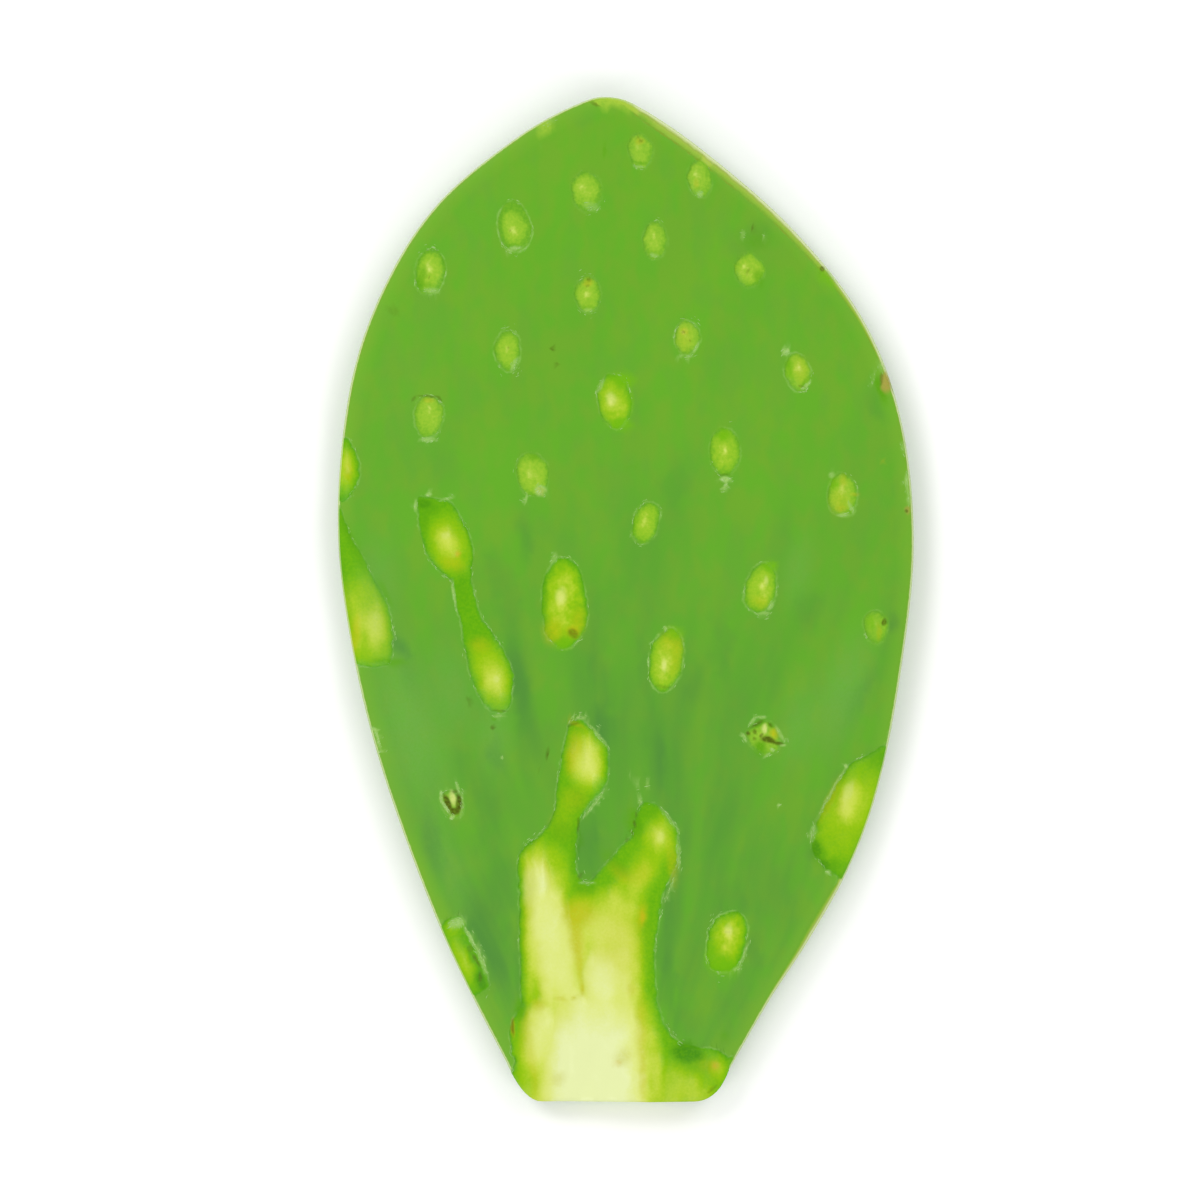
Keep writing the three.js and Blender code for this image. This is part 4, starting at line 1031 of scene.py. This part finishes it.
def build_pad():
    points, quads = pad_net()
    rough = bpy.data.meshes.new("net")
    rough.from_pydata(points.tolist(), [], quads.tolist())
    net = bmesh.new()
    net.from_mesh(rough)
    bpy.data.meshes.remove(rough)
    refine(net, *COARSE_PASS)
    refine(net, *FINE_PASS)
    bmesh.ops.triangulate(net, faces=net.faces[:], quad_method="BEAUTY")
    place, values, mark_and_painted_light_colour, way = finish_net(net)
    middle = np.array((pad_middle.x, pad_middle.y, pad_low.z))
    for vertex, co in zip(net.verts, place * MM + middle):
        vertex.co = co
    mesh = bpy.data.meshes.new("pad_flesh_and_skin")
    net.to_mesh(mesh)
    net.free()
    for name, numbers in values.items():
        add_attribute(mesh, name, "FLOAT", "value", numbers)
    rgba = np.column_stack([mark_and_painted_light_colour, np.ones(len(mark_and_painted_light_colour))])
    add_attribute(mesh, "mark_and_painted_light_colour", "FLOAT_COLOR", "color", rgba)
    add_attribute(mesh, "way_along_lip", "FLOAT_VECTOR", "vector", way)
    mesh.shade_smooth()
    mesh.set_sharp_from_angle(angle=np.radians(SHARP_ANGLE))
    return add_object("pad_flesh_and_skin", mesh)


pad = build_pad()

# --------------------------------------------------------------------- skin and flesh
# The skin is green under a thin wax bloom, in slow mottles and streaks that fan out
# from the stem. Cut flesh is green just under the skin and pales inward to cream.


def put(tree, kind, inputs=(), **settings):
    """Add a node, set it up and connect or fill its inputs."""
    node = tree.nodes.new(kind)
    for name, value in settings.items():
        setattr(node, name, value)
    for key, value in dict(inputs).items():
        if isinstance(value, bpy.types.NodeSocket):
            tree.links.new(value, node.inputs[key])
        else:
            node.inputs[key].default_value = value
    return node


def math_node(tree, operation, *values):
    return put(tree, "ShaderNodeMath", dict(enumerate(values)), operation=operation).outputs[0]


def times(tree, *values):
    return math_node(tree, "MULTIPLY", *values)


def plus(tree, *values):
    return math_node(tree, "ADD", *values)


def blend_colours(tree, share, under, over):
    inputs = {0: share, 6: under, 7: over}
    return put(tree, "ShaderNodeMix", inputs, data_type="RGBA").outputs[2]


def ramp(tree, share, stops):
    node = put(tree, "ShaderNodeValToRGB", {"Fac": share})
    elements = node.color_ramp.elements
    while len(elements) < len(stops):
        elements.new(1)
    for element, (place, hex_code) in zip(elements, stops):
        element.position = place
        element.color = paint(hex_code)
    return node.outputs["Color"]


def remap(tree, value, low, high, to_low=0.0, to_high=1.0):
    inputs = {"Value": value, "From Min": low, "From Max": high,
              "To Min": to_low, "To Max": to_high}
    return put(tree, "ShaderNodeMapRange", inputs).outputs["Result"]


def scaled(tree, vector, scale):
    inputs = {0: vector, "Scale": scale}
    return put(tree, "ShaderNodeVectorMath", inputs, operation="SCALE").outputs[0]


def noise(tree, where, size_mm, detail=2.0, stretch=(1, 1, 1)):
    inputs = {0: where, 1: [share / (size_mm * MM) for share in stretch]}
    place = put(tree, "ShaderNodeVectorMath", inputs, operation="MULTIPLY").outputs[0]
    inputs = {"Vector": place, "Scale": 1.0, "Detail": detail}
    return put(tree, "ShaderNodeTexNoise", inputs).outputs["Fac"]


def add_sockets(tree, in_out, kind, *names):
    for name in names:
        tree.interface.new_socket(name, in_out=in_out, socket_type="NodeSocket" + kind)


def build_skin_grain():
    """The fine grain and slower dimpling of the skin, as a height."""
    tree = bpy.data.node_groups.new("skin grain", "ShaderNodeTree")
    add_sockets(tree, "INPUT", "Vector", "Position")
    add_sockets(tree, "INPUT", "Float", "Grain size", "Dimple size", "Dimple height")
    add_sockets(tree, "OUTPUT", "Float", "Height")
    given = tree.nodes.new("NodeGroupInput").outputs
    layers = []
    for name in ("Grain size", "Dimple size"):
        place = scaled(tree, given["Position"], math_node(tree, "DIVIDE", 1.0, given[name]))
        layer = put(tree, "ShaderNodeTexNoise", {"Vector": place, "Scale": 1.0})
        layers.append(layer.outputs["Fac"])
    dimples = times(tree, layers[1], given["Dimple height"])
    put(tree, "NodeGroupOutput", {"Height": plus(tree, layers[0], dimples)})
    return tree


SKIN_GRAIN = build_skin_grain()
GRAIN_STRENGTH = 0.5


def add_grain(tree, shader, where, grain_mm, dimple_mm, dimple_height, depth_mm):
    """Bump a shader's surface with the skin's grain."""
    grain = put(tree, "ShaderNodeGroup", {
        "Position": where, "Grain size": grain_mm * MM, "Dimple size": dimple_mm * MM,
        "Dimple height": dimple_height}, node_tree=SKIN_GRAIN)
    bump = put(tree, "ShaderNodeBump", {
        "Height": grain.outputs["Height"], "Strength": GRAIN_STRENGTH,
        "Distance": depth_mm * MM})
    tree.links.new(bump.outputs["Normal"], shader.inputs["Normal"])


def new_material(name):
    material = bpy.data.materials.new(name)
    material.use_nodes = True
    tree = material.node_tree
    return material, tree, tree.nodes["Principled BSDF"]


SKIN_ENDS = 105 * MM
SKIN_BY_LENGTH = [(0, "69A932"), (0.55, "69AB2E"), (1, "6CAC2A")]  # stem end to tip
SKIN_VEIN = "54903A"
SKIN_OLIVE_MOTTLE = "72A92E"
SKIN_GREEN_MOTTLE = "62AE2A"
SKIN_GREY_MOTTLE = "66A535"
# painted light: the skin made paler where it turns down to the rim
SKIN_RIM_PAINTED_LIGHT = "7CB432"
RIM_PAINTED_LIGHT = 0.6
RIM_PAINTED_LIGHT_REACH = (0.4, 4)
VEINS_AT_TIP = 0.12
VEINS_AT_STEM = 0.32
VEINS_CHANGE = 50 * MM
CUTICLE_EDGE = "9ACA68"
RIM_LINE = "84A02A"
RIM_PALE = "D2E0A2"
RIM_PALEST = "DEE9B8"
RIM_PALE_REACH = (0.3, 0.7)
RIM_PALE_SHARE = 0.9
PALEST_PART = ((-6 * MM, 6 * MM), (15 * MM, 50 * MM))  # across, then along
SHALLOW_FLESH = [(0, "6CAC2A"), (0.1, "7CB62E"), (0.2, "8DC034"), (0.3, "9AC63A"),
                 (0.38, "AACC4C"), (0.46, "BCDA5E"), (0.55, "CCE07C"), (0.8, "E0ECA8")]
DEEP_FLESH = [(0, "4FA008"), (0.08, "5EAA02"), (0.17, "78B800"), (0.29, "95C412"),
              (0.4, "B3D030"), (0.5, "C7DA4C"), (0.63, "D6E26A"), (0.78, "DEE884"),
              (1, "E6EFAC")]
RIM_BANDS = [(0, "B4C484"), (0.12, "CCDA94"), (0.3, "C4D67E"), (0.42, "A8BA54"),
             (0.55, "B0CA50"), (0.85, "A2C442"), (1, "90B432")]
DEEPEST = 3.8
FIBRE_RANGE = (0.25, 0.75)
FIBRE_IN_SPOTS = 0.085
FIBRE_IN_LONG_CUTS = 0.035
SPOT_LIP_FADE = 0.38
LONG_CUT_LIP_FADE = 0.12
SHARPEST_LIP = 0.5  # how much of a long cut or rim a lip has to be to be at its sharpest
RAGGEDNESS = 0.2
LINE_OUTSIDE_LIP = 0.05
LINE_WIDTH = 0.35
LINE_STRENGTH = 0.85
LINE_BREAKS = (0.36, 0.62)
RIM_LINE_REACH = (0.12, 0.2)
RIM_LINE_ALONG = (-20 * MM, 20 * MM)
SPECKLE_RANGE = (0.34, 0.56)
SPECKLE_LEAST = 0.7
NO_COLOUR = (0, 0, 0, 1)
SKIN_ROUGHNESS = 0.46
FLESH_ROUGHNESS = 0.34
PAD_SPECULAR = 0.1
WET_DEPTHS = (0.9, 2.6)
WETTEST = 0.35
WET_ROUGHNESS = 0.2
NOISE_RANGE = (0.2, 0.8)
STREAK_RANGE = (0.38, 0.7)
LEAST_SHADE = 0.65
SHADE_BY_STREAK = 0.5
PAD_GRAIN = (0.5, 2.2, 2.0, 0.06)  # grain and dimple sizes, dimple height, depth
FAN_CENTRE = -150 * MM
FAN_WANDER = 4 * MM
FAN_STRETCH = (0.1, 0.16)
SMALL_MOTTLE_MM = 4.5
GREY_MOTTLE_MM = 6.5
STREAK_MM = 6
WANDER_MM = 45
FIBRE_MM = 0.55
RAGGED_MM = 0.7
SPECKLE_MM = 0.6
RIM_WANDER_MM = 3
RIM_WANDER = 0.15
LINE_BREAKS_MM = 2.8


def net_values(tree):
    """The values that the net carries, by name."""
    names = ("flesh_depth", "lip", "deep_cut", "rim_cut", "from_rim", "across_shaving",
             "mark_and_painted_light_amount", "cuticle_line", "shade", "upper_side")
    return {name: put(tree, "ShaderNodeAttribute", attribute_name=name).outputs["Fac"]
            for name in names}


def split(tree, where):
    """The X, Y and Z of a place."""
    return put(tree, "ShaderNodeSeparateXYZ", {0: where}).outputs


def fan_streaks(tree, where):
    """Streaks that fan out from the stem."""
    place = split(tree, where)
    up = math_node(tree, "SUBTRACT", place["Y"], FAN_CENTRE)
    wander = noise(tree, where, WANDER_MM, detail=1)
    wander = remap(tree, wander, *NOISE_RANGE, -FAN_WANDER, FAN_WANDER)
    across = math_node(tree, "DIVIDE", plus(tree, place["X"], wander), up)
    fan = put(tree, "ShaderNodeCombineXYZ", {
        "X": times(tree, across, FAN_STRETCH[0]), "Y": times(tree, up, FAN_STRETCH[1]),
        "Z": place["Z"]})
    return noise(tree, fan.outputs[0], STREAK_MM)


def skin_colour(tree, where, given):
    """Yellower at the tip, with small mottles, darker strands and painted light along the rim."""
    along = split(tree, where)["Y"]
    skin = ramp(tree, remap(tree, along, -SKIN_ENDS, SKIN_ENDS), SKIN_BY_LENGTH)
    small = noise(tree, where, SMALL_MOTTLE_MM, stretch=(1, 0.6, 1))
    grey = noise(tree, where, GREY_MOTTLE_MM, detail=3, stretch=(1, 0.5, 0.8))
    for mottle, full, most, hex_code in (
        (small, 0.62, 0.6, SKIN_OLIVE_MOTTLE),
        (small, 0.38, 0.6, SKIN_GREEN_MOTTLE),
        (grey, 0.62, 0.4, SKIN_GREY_MOTTLE),
    ):
        share = remap(tree, mottle, 0.5, full, 0, most)
        skin = blend_colours(tree, share, skin, paint(hex_code))
    streak = remap(tree, fan_streaks(tree, where), *STREAK_RANGE)
    by_stem = remap(tree, along, VEINS_CHANGE, -VEINS_CHANGE, VEINS_AT_TIP, VEINS_AT_STEM)
    veins = times(tree, streak, by_stem)
    uneven = plus(tree, times(tree, streak, SHADE_BY_STREAK), LEAST_SHADE)
    veins = plus(tree, veins, times(tree, given["shade"], uneven))
    veins = math_node(tree, "MINIMUM", veins, 1.0)
    skin = blend_colours(tree, veins, skin, paint(SKIN_VEIN))
    # painted light: the skin paler where it turns down at the rim
    rim_painted_light = remap(tree, given["from_rim"], *RIM_PAINTED_LIGHT_REACH, RIM_PAINTED_LIGHT, 0)
    return blend_colours(tree, rim_painted_light, skin, paint(SKIN_RIM_PAINTED_LIGHT))


def rim_colour(tree, where, given):
    """Bands along the shaved rim, palest at its very edge."""
    wander = noise(tree, where, RIM_WANDER_MM)
    wander = remap(tree, wander, *NOISE_RANGE, -RIM_WANDER, RIM_WANDER)
    bands = ramp(tree, plus(tree, given["across_shaving"], wander), RIM_BANDS)
    place = split(tree, where)
    upper_right = times(tree, remap(tree, place["X"], *PALEST_PART[0]),
                        remap(tree, place["Y"], *PALEST_PART[1]))
    pale = blend_colours(tree, upper_right, paint(RIM_PALE), paint(RIM_PALEST))
    share = remap(tree, given["from_rim"], *RIM_PALE_REACH, RIM_PALE_SHARE, 0)
    return blend_colours(tree, times(tree, share, given["upper_side"]), bands, pale)


def flesh_colour(tree, where, given):
    """Paler with depth, in two strengths, and the rim's own bands."""
    fibre = remap(tree, noise(tree, where, FIBRE_MM, detail=3), *FIBRE_RANGE, -1, 1)
    coarseness = remap(tree, given["deep_cut"], 0, 1, FIBRE_IN_SPOTS, FIBRE_IN_LONG_CUTS)
    deepness = math_node(tree, "DIVIDE", given["flesh_depth"], DEEPEST)
    deepness = plus(tree, deepness, times(tree, fibre, coarseness))
    shallow, deep = (ramp(tree, deepness, stops) for stops in (SHALLOW_FLESH, DEEP_FLESH))
    flesh = blend_colours(tree, given["deep_cut"], shallow, deep)
    return blend_colours(tree, given["rim_cut"], flesh, rim_colour(tree, where, given))


def where_flesh(tree, lip, given):
    """1 on flesh, 0 on skin: a sharp line on the long cuts, softer round the spots."""
    long_or_rim = math_node(tree, "MAXIMUM", given["deep_cut"], given["rim_cut"])
    fade = remap(tree, long_or_rim, 0, SHARPEST_LIP, SPOT_LIP_FADE, LONG_CUT_LIP_FADE)
    share = math_node(tree, "DIVIDE", plus(tree, lip, fade), times(tree, fade, 2))
    return remap(tree, share, 0, 1)


def add_cuticle_line(tree, where, given, lip, colour):
    """Bare cuticle, in broken runs along the lips and the rim's wide shaving."""
    off_line = math_node(tree, "ABSOLUTE", plus(tree, lip, LINE_OUTSIDE_LIP))
    broken = noise(tree, where, LINE_BREAKS_MM)
    broken = remap(tree, broken, *LINE_BREAKS, 0, LINE_STRENGTH)
    off_band = math_node(tree, "SUBTRACT", given["across_shaving"], 1.0)
    off_band = math_node(tree, "ABSOLUTE", off_band)
    by_band = times(tree, remap(tree, off_band, *RIM_LINE_REACH, 1, 0),
                    remap(tree, split(tree, where)["Y"], *RIM_LINE_ALONG))
    shown = math_node(tree, "MAXIMUM", times(tree, broken, given["cuticle_line"]),
                      times(tree, by_band, broken))
    line = times(tree, remap(tree, off_line, 0, LINE_WIDTH, 1, 0), shown)
    edge = blend_colours(tree, by_band, paint(CUTICLE_EDGE), paint(RIM_LINE))
    return blend_colours(tree, line, colour, edge)


def add_marks_and_painted_light(tree, where, given, colour):
    """The marks and painted light, laid over the rest in speckles."""
    speckled = noise(tree, where, SPECKLE_MM, detail=3)
    speckled = remap(tree, speckled, *SPECKLE_RANGE, SPECKLE_LEAST, 1)
    amount = times(tree, given["mark_and_painted_light_amount"], speckled)
    colour = blend_colours(tree, amount, colour, NO_COLOUR)
    mark = put(tree, "ShaderNodeAttribute", attribute_name="mark_and_painted_light_colour").outputs["Color"]
    inputs = {0: colour, 1: scaled(tree, mark, speckled)}
    return put(tree, "ShaderNodeVectorMath", inputs).outputs[0]


def pad_material():
    """Flesh meets skin in a ragged line at the lips; both carry the same fine grain."""
    material, tree, shader = new_material("cactus skin and cut flesh")
    where = put(tree, "ShaderNodeTexCoord").outputs["Object"]
    given = net_values(tree)
    ragged = noise(tree, where, RAGGED_MM, detail=3)
    ragged = remap(tree, ragged, *NOISE_RANGE, -RAGGEDNESS, RAGGEDNESS)
    lip = plus(tree, given["lip"], ragged)
    is_flesh = where_flesh(tree, lip, given)
    colour = blend_colours(tree, is_flesh, skin_colour(tree, where, given),
                           flesh_colour(tree, where, given))
    colour = add_cuticle_line(tree, where, given, lip, colour)
    colour = add_marks_and_painted_light(tree, where, given, colour)
    wet = times(tree, remap(tree, given["flesh_depth"], *WET_DEPTHS, 0, WETTEST), is_flesh)
    roughness = remap(tree, is_flesh, 0, 1, SKIN_ROUGHNESS, FLESH_ROUGHNESS)
    tree.links.new(colour, shader.inputs["Base Color"])
    tree.links.new(roughness, shader.inputs["Roughness"])
    tree.links.new(wet, shader.inputs["Coat Weight"])
    shader.inputs["Specular IOR Level"].default_value = PAD_SPECULAR
    shader.inputs["Coat Roughness"].default_value = WET_ROUGHNESS
    add_grain(tree, shader, where, *PAD_GRAIN)
    return material


pad.data.materials.append(pad_material())
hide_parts("pad")
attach(pad, "root")

# ------------------------------------------------------------------------ torn cuticle
# The knife leaves the skin's tough clear cuticle frayed: thin slivers, most of them lying
# along the lip of a cut, thickest where a stroke stopped. Each is bedded in the skin.

SLIVERS_PER_MM2 = 12
SLIVER_LENGTH = 0.85
SLIVER_WIDTH = 0.11
SLIVER_THICKNESS = 0.06
SLIVER_SEED = 5
SLIVER_TURN = (0.1, 0.12, 0.3)  # most each may roll, pitch and swing from the lip
SLIVER_SIZES = (0.4, 1.3)
SLIVER_SIDES = 6
SLIVER_RINGS = 4
CUTICLE_COLOURS = [(0.35, "88C058"), (0.65, "AED284")]
CUTICLE_ROUGHNESS = (0.3, 0.55)
CUTICLE_PATCH_MM = 0.8
CUTICLE_GLOSS_MM = 0.3
CUTICLE_GLOSS_RANGE = (0.3, 0.7)
CUTICLE_GRAIN = (0.12, 0.5, 1.0, 0.02)


def fray_tree():
    """Scatters slivers over a torn face, turned to run along the lips."""
    tree = bpy.data.node_groups.new("frayed cuticle", "GeometryNodeTree")
    add_sockets(tree, "INPUT", "Geometry", "Geometry")
    add_sockets(tree, "INPUT", "Float", "Slivers per square metre", "Length", "Width",
                "Thickness")
    add_sockets(tree, "INPUT", "Int", "Seed")
    add_sockets(tree, "INPUT", "Material", "Material")
    add_sockets(tree, "OUTPUT", "Geometry", "Geometry")
    given = tree.nodes.new("NodeGroupInput").outputs

    torn = put(tree, "GeometryNodeInputNamedAttribute", {"Name": "torn"}, data_type="FLOAT")
    density = times(tree, torn.outputs[0], given["Slivers per square metre"])
    points = put(tree, "GeometryNodeDistributePointsOnFaces", {
        "Mesh": given["Geometry"], "Density": density, "Seed": given["Seed"]})
    upright = put(tree, "FunctionNodeAlignRotationToVector", {"Vector": points.outputs["Normal"]},
                  axis="Z")
    way = put(tree, "GeometryNodeInputNamedAttribute", {"Name": "way_along_lip"},
              data_type="FLOAT_VECTOR")
    along = put(tree, "FunctionNodeAlignRotationToVector", {
        "Rotation": upright.outputs[0], "Vector": way.outputs[0]}, axis="Y", pivot_axis="Z")
    askew = put(tree, "FunctionNodeRandomValue", {
        0: [-turn for turn in SLIVER_TURN], 1: SLIVER_TURN, "Seed": given["Seed"]},
        data_type="FLOAT_VECTOR")
    askew = put(tree, "FunctionNodeEulerToRotation", {0: askew.outputs[0]})
    turned = put(tree, "FunctionNodeRotateRotation", {
        "Rotation": along.outputs[0], "Rotate By": askew.outputs[0]}, rotation_space="LOCAL")
    size = put(tree, "FunctionNodeRandomValue", {
        2: SLIVER_SIZES[0], 3: SLIVER_SIZES[1], "Seed": given["Seed"]}, data_type="FLOAT")

    ball = put(tree, "GeometryNodeMeshUVSphere", {
        "Segments": SLIVER_SIDES, "Rings": SLIVER_RINGS, "Radius": 0.5})
    extent = put(tree, "ShaderNodeCombineXYZ", {
        "X": given["Width"], "Y": given["Length"], "Z": given["Thickness"]})
    sliver = put(tree, "GeometryNodeTransform", {
        "Geometry": ball.outputs["Mesh"], "Scale": extent.outputs[0]})
    scattered = put(tree, "GeometryNodeInstanceOnPoints", {
        "Points": points.outputs["Points"], "Instance": sliver.outputs["Geometry"],
        "Rotation": turned.outputs[0], "Scale": size.outputs[1]})
    made = put(tree, "GeometryNodeRealizeInstances", {"Geometry": scattered.outputs["Instances"]})
    made = put(tree, "GeometryNodeSetMaterial", {
        "Geometry": made.outputs["Geometry"], "Material": given["Material"]})
    put(tree, "NodeGroupOutput", {"Geometry": made.outputs["Geometry"]})
    return tree


def cuticle_material():
    """Clear skin gone white where it is torn, glossier in places than the skin."""
    material, tree, shader = new_material("torn cuticle")
    where = put(tree, "ShaderNodeTexCoord").outputs["Object"]
    colour = ramp(tree, noise(tree, where, CUTICLE_PATCH_MM), CUTICLE_COLOURS)
    roughness = noise(tree, where, CUTICLE_GLOSS_MM)
    roughness = remap(tree, roughness, *CUTICLE_GLOSS_RANGE, *CUTICLE_ROUGHNESS)
    tree.links.new(colour, shader.inputs["Base Color"])
    tree.links.new(roughness, shader.inputs["Roughness"])
    add_grain(tree, shader, where, *CUTICLE_GRAIN)
    return material


def fray_cuticle():
    """Runs the tree on a copy of the pad's face and keeps only the slivers."""
    carrier = add_object("torn_face", pad.data.copy())
    carrier.data.materials.clear()
    fraying = carrier.modifiers.new("frayed cuticle", "NODES")
    fraying.node_group = fray_tree()
    settings = {"Slivers per square metre": SLIVERS_PER_MM2 / MM ** 2,
                "Length": SLIVER_LENGTH * MM, "Width": SLIVER_WIDTH * MM,
                "Thickness": SLIVER_THICKNESS * MM, "Seed": SLIVER_SEED,
                "Material": cuticle_material()}
    for socket in fraying.node_group.interface.items_tree:
        if socket.in_out == "INPUT" and socket.name in settings:
            fraying[socket.identifier] = settings[socket.name]
    shaped = carrier.evaluated_get(bpy.context.evaluated_depsgraph_get())
    mesh = bpy.data.meshes.new_from_object(shaped)
    carrier.modifiers.remove(fraying)
    bpy.data.meshes.remove(carrier.data)
    return add_object("torn_cuticle", mesh)


slivers = fray_cuticle()
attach(slivers, "root")

# ------------------------------------------------------------------ the table and light
# A plain white table top in a white room, under four soft lamps that stand off its
# corners, the brightest beyond the pad's tip on the left.

TABLE_SIZE = 3.0  # this section is in metres
TABLE_WHITE = (0.97, 0.97, 0.97, 1)
TABLE_ROUGHNESS = 0.9
LAMP_DISTANCE = 1.1
LAMP_HEIGHT = 1.0
LAMP_SIZE = 0.8
LAMP_WATTS = {135: 7.0, 45: 4.6, 225: 4.6, 315: 4.0}  # by the way each stands round
ROOM_LIGHT = 0.62
ROOM_WHITE = (1, 1, 1, 1)


def lay_table():
    mesh = bpy.data.meshes.new("table_top")
    half = TABLE_SIZE / 2
    mesh.from_pydata([(-half, -half, 0), (half, -half, 0), (half, half, 0), (-half, half, 0)],
                     [], [(0, 1, 2, 3)])
    table = add_object("table_top", mesh)
    material, _, shader = new_material("white table")
    shader.inputs["Base Color"].default_value = TABLE_WHITE
    shader.inputs["Roughness"].default_value = TABLE_ROUGHNESS
    mesh.materials.append(material)
    table.location.z = pad_low.z


def light_room():
    world = bpy.data.worlds.new("white room")
    world.use_nodes = True
    tree = world.node_tree
    seen = put(tree, "ShaderNodeLightPath").outputs["Is Camera Ray"]
    tree.links.new(remap(tree, seen, 0, 1, ROOM_LIGHT, 1.0),
                   tree.nodes["Background"].inputs["Strength"])
    tree.nodes["Background"].inputs["Color"].default_value = ROOM_WHITE
    bpy.context.scene.world = world
    for turn, watts in LAMP_WATTS.items():
        data = bpy.data.lights.new(f"soft_lamp_{turn}", "AREA")
        data.shape = "DISK"
        data.size = LAMP_SIZE
        data.energy = watts
        lamp = add_object(f"soft_lamp_{turn}", data)
        across, along = np.cos(np.radians(turn)), np.sin(np.radians(turn))
        lamp.location = (LAMP_DISTANCE * across, LAMP_DISTANCE * along, LAMP_HEIGHT)
        lamp.rotation_euler = (-lamp.location).to_track_quat("-Z", "Y").to_euler()


lay_table()
light_room()
bpy.context.scene.view_settings.view_transform = "Standard"
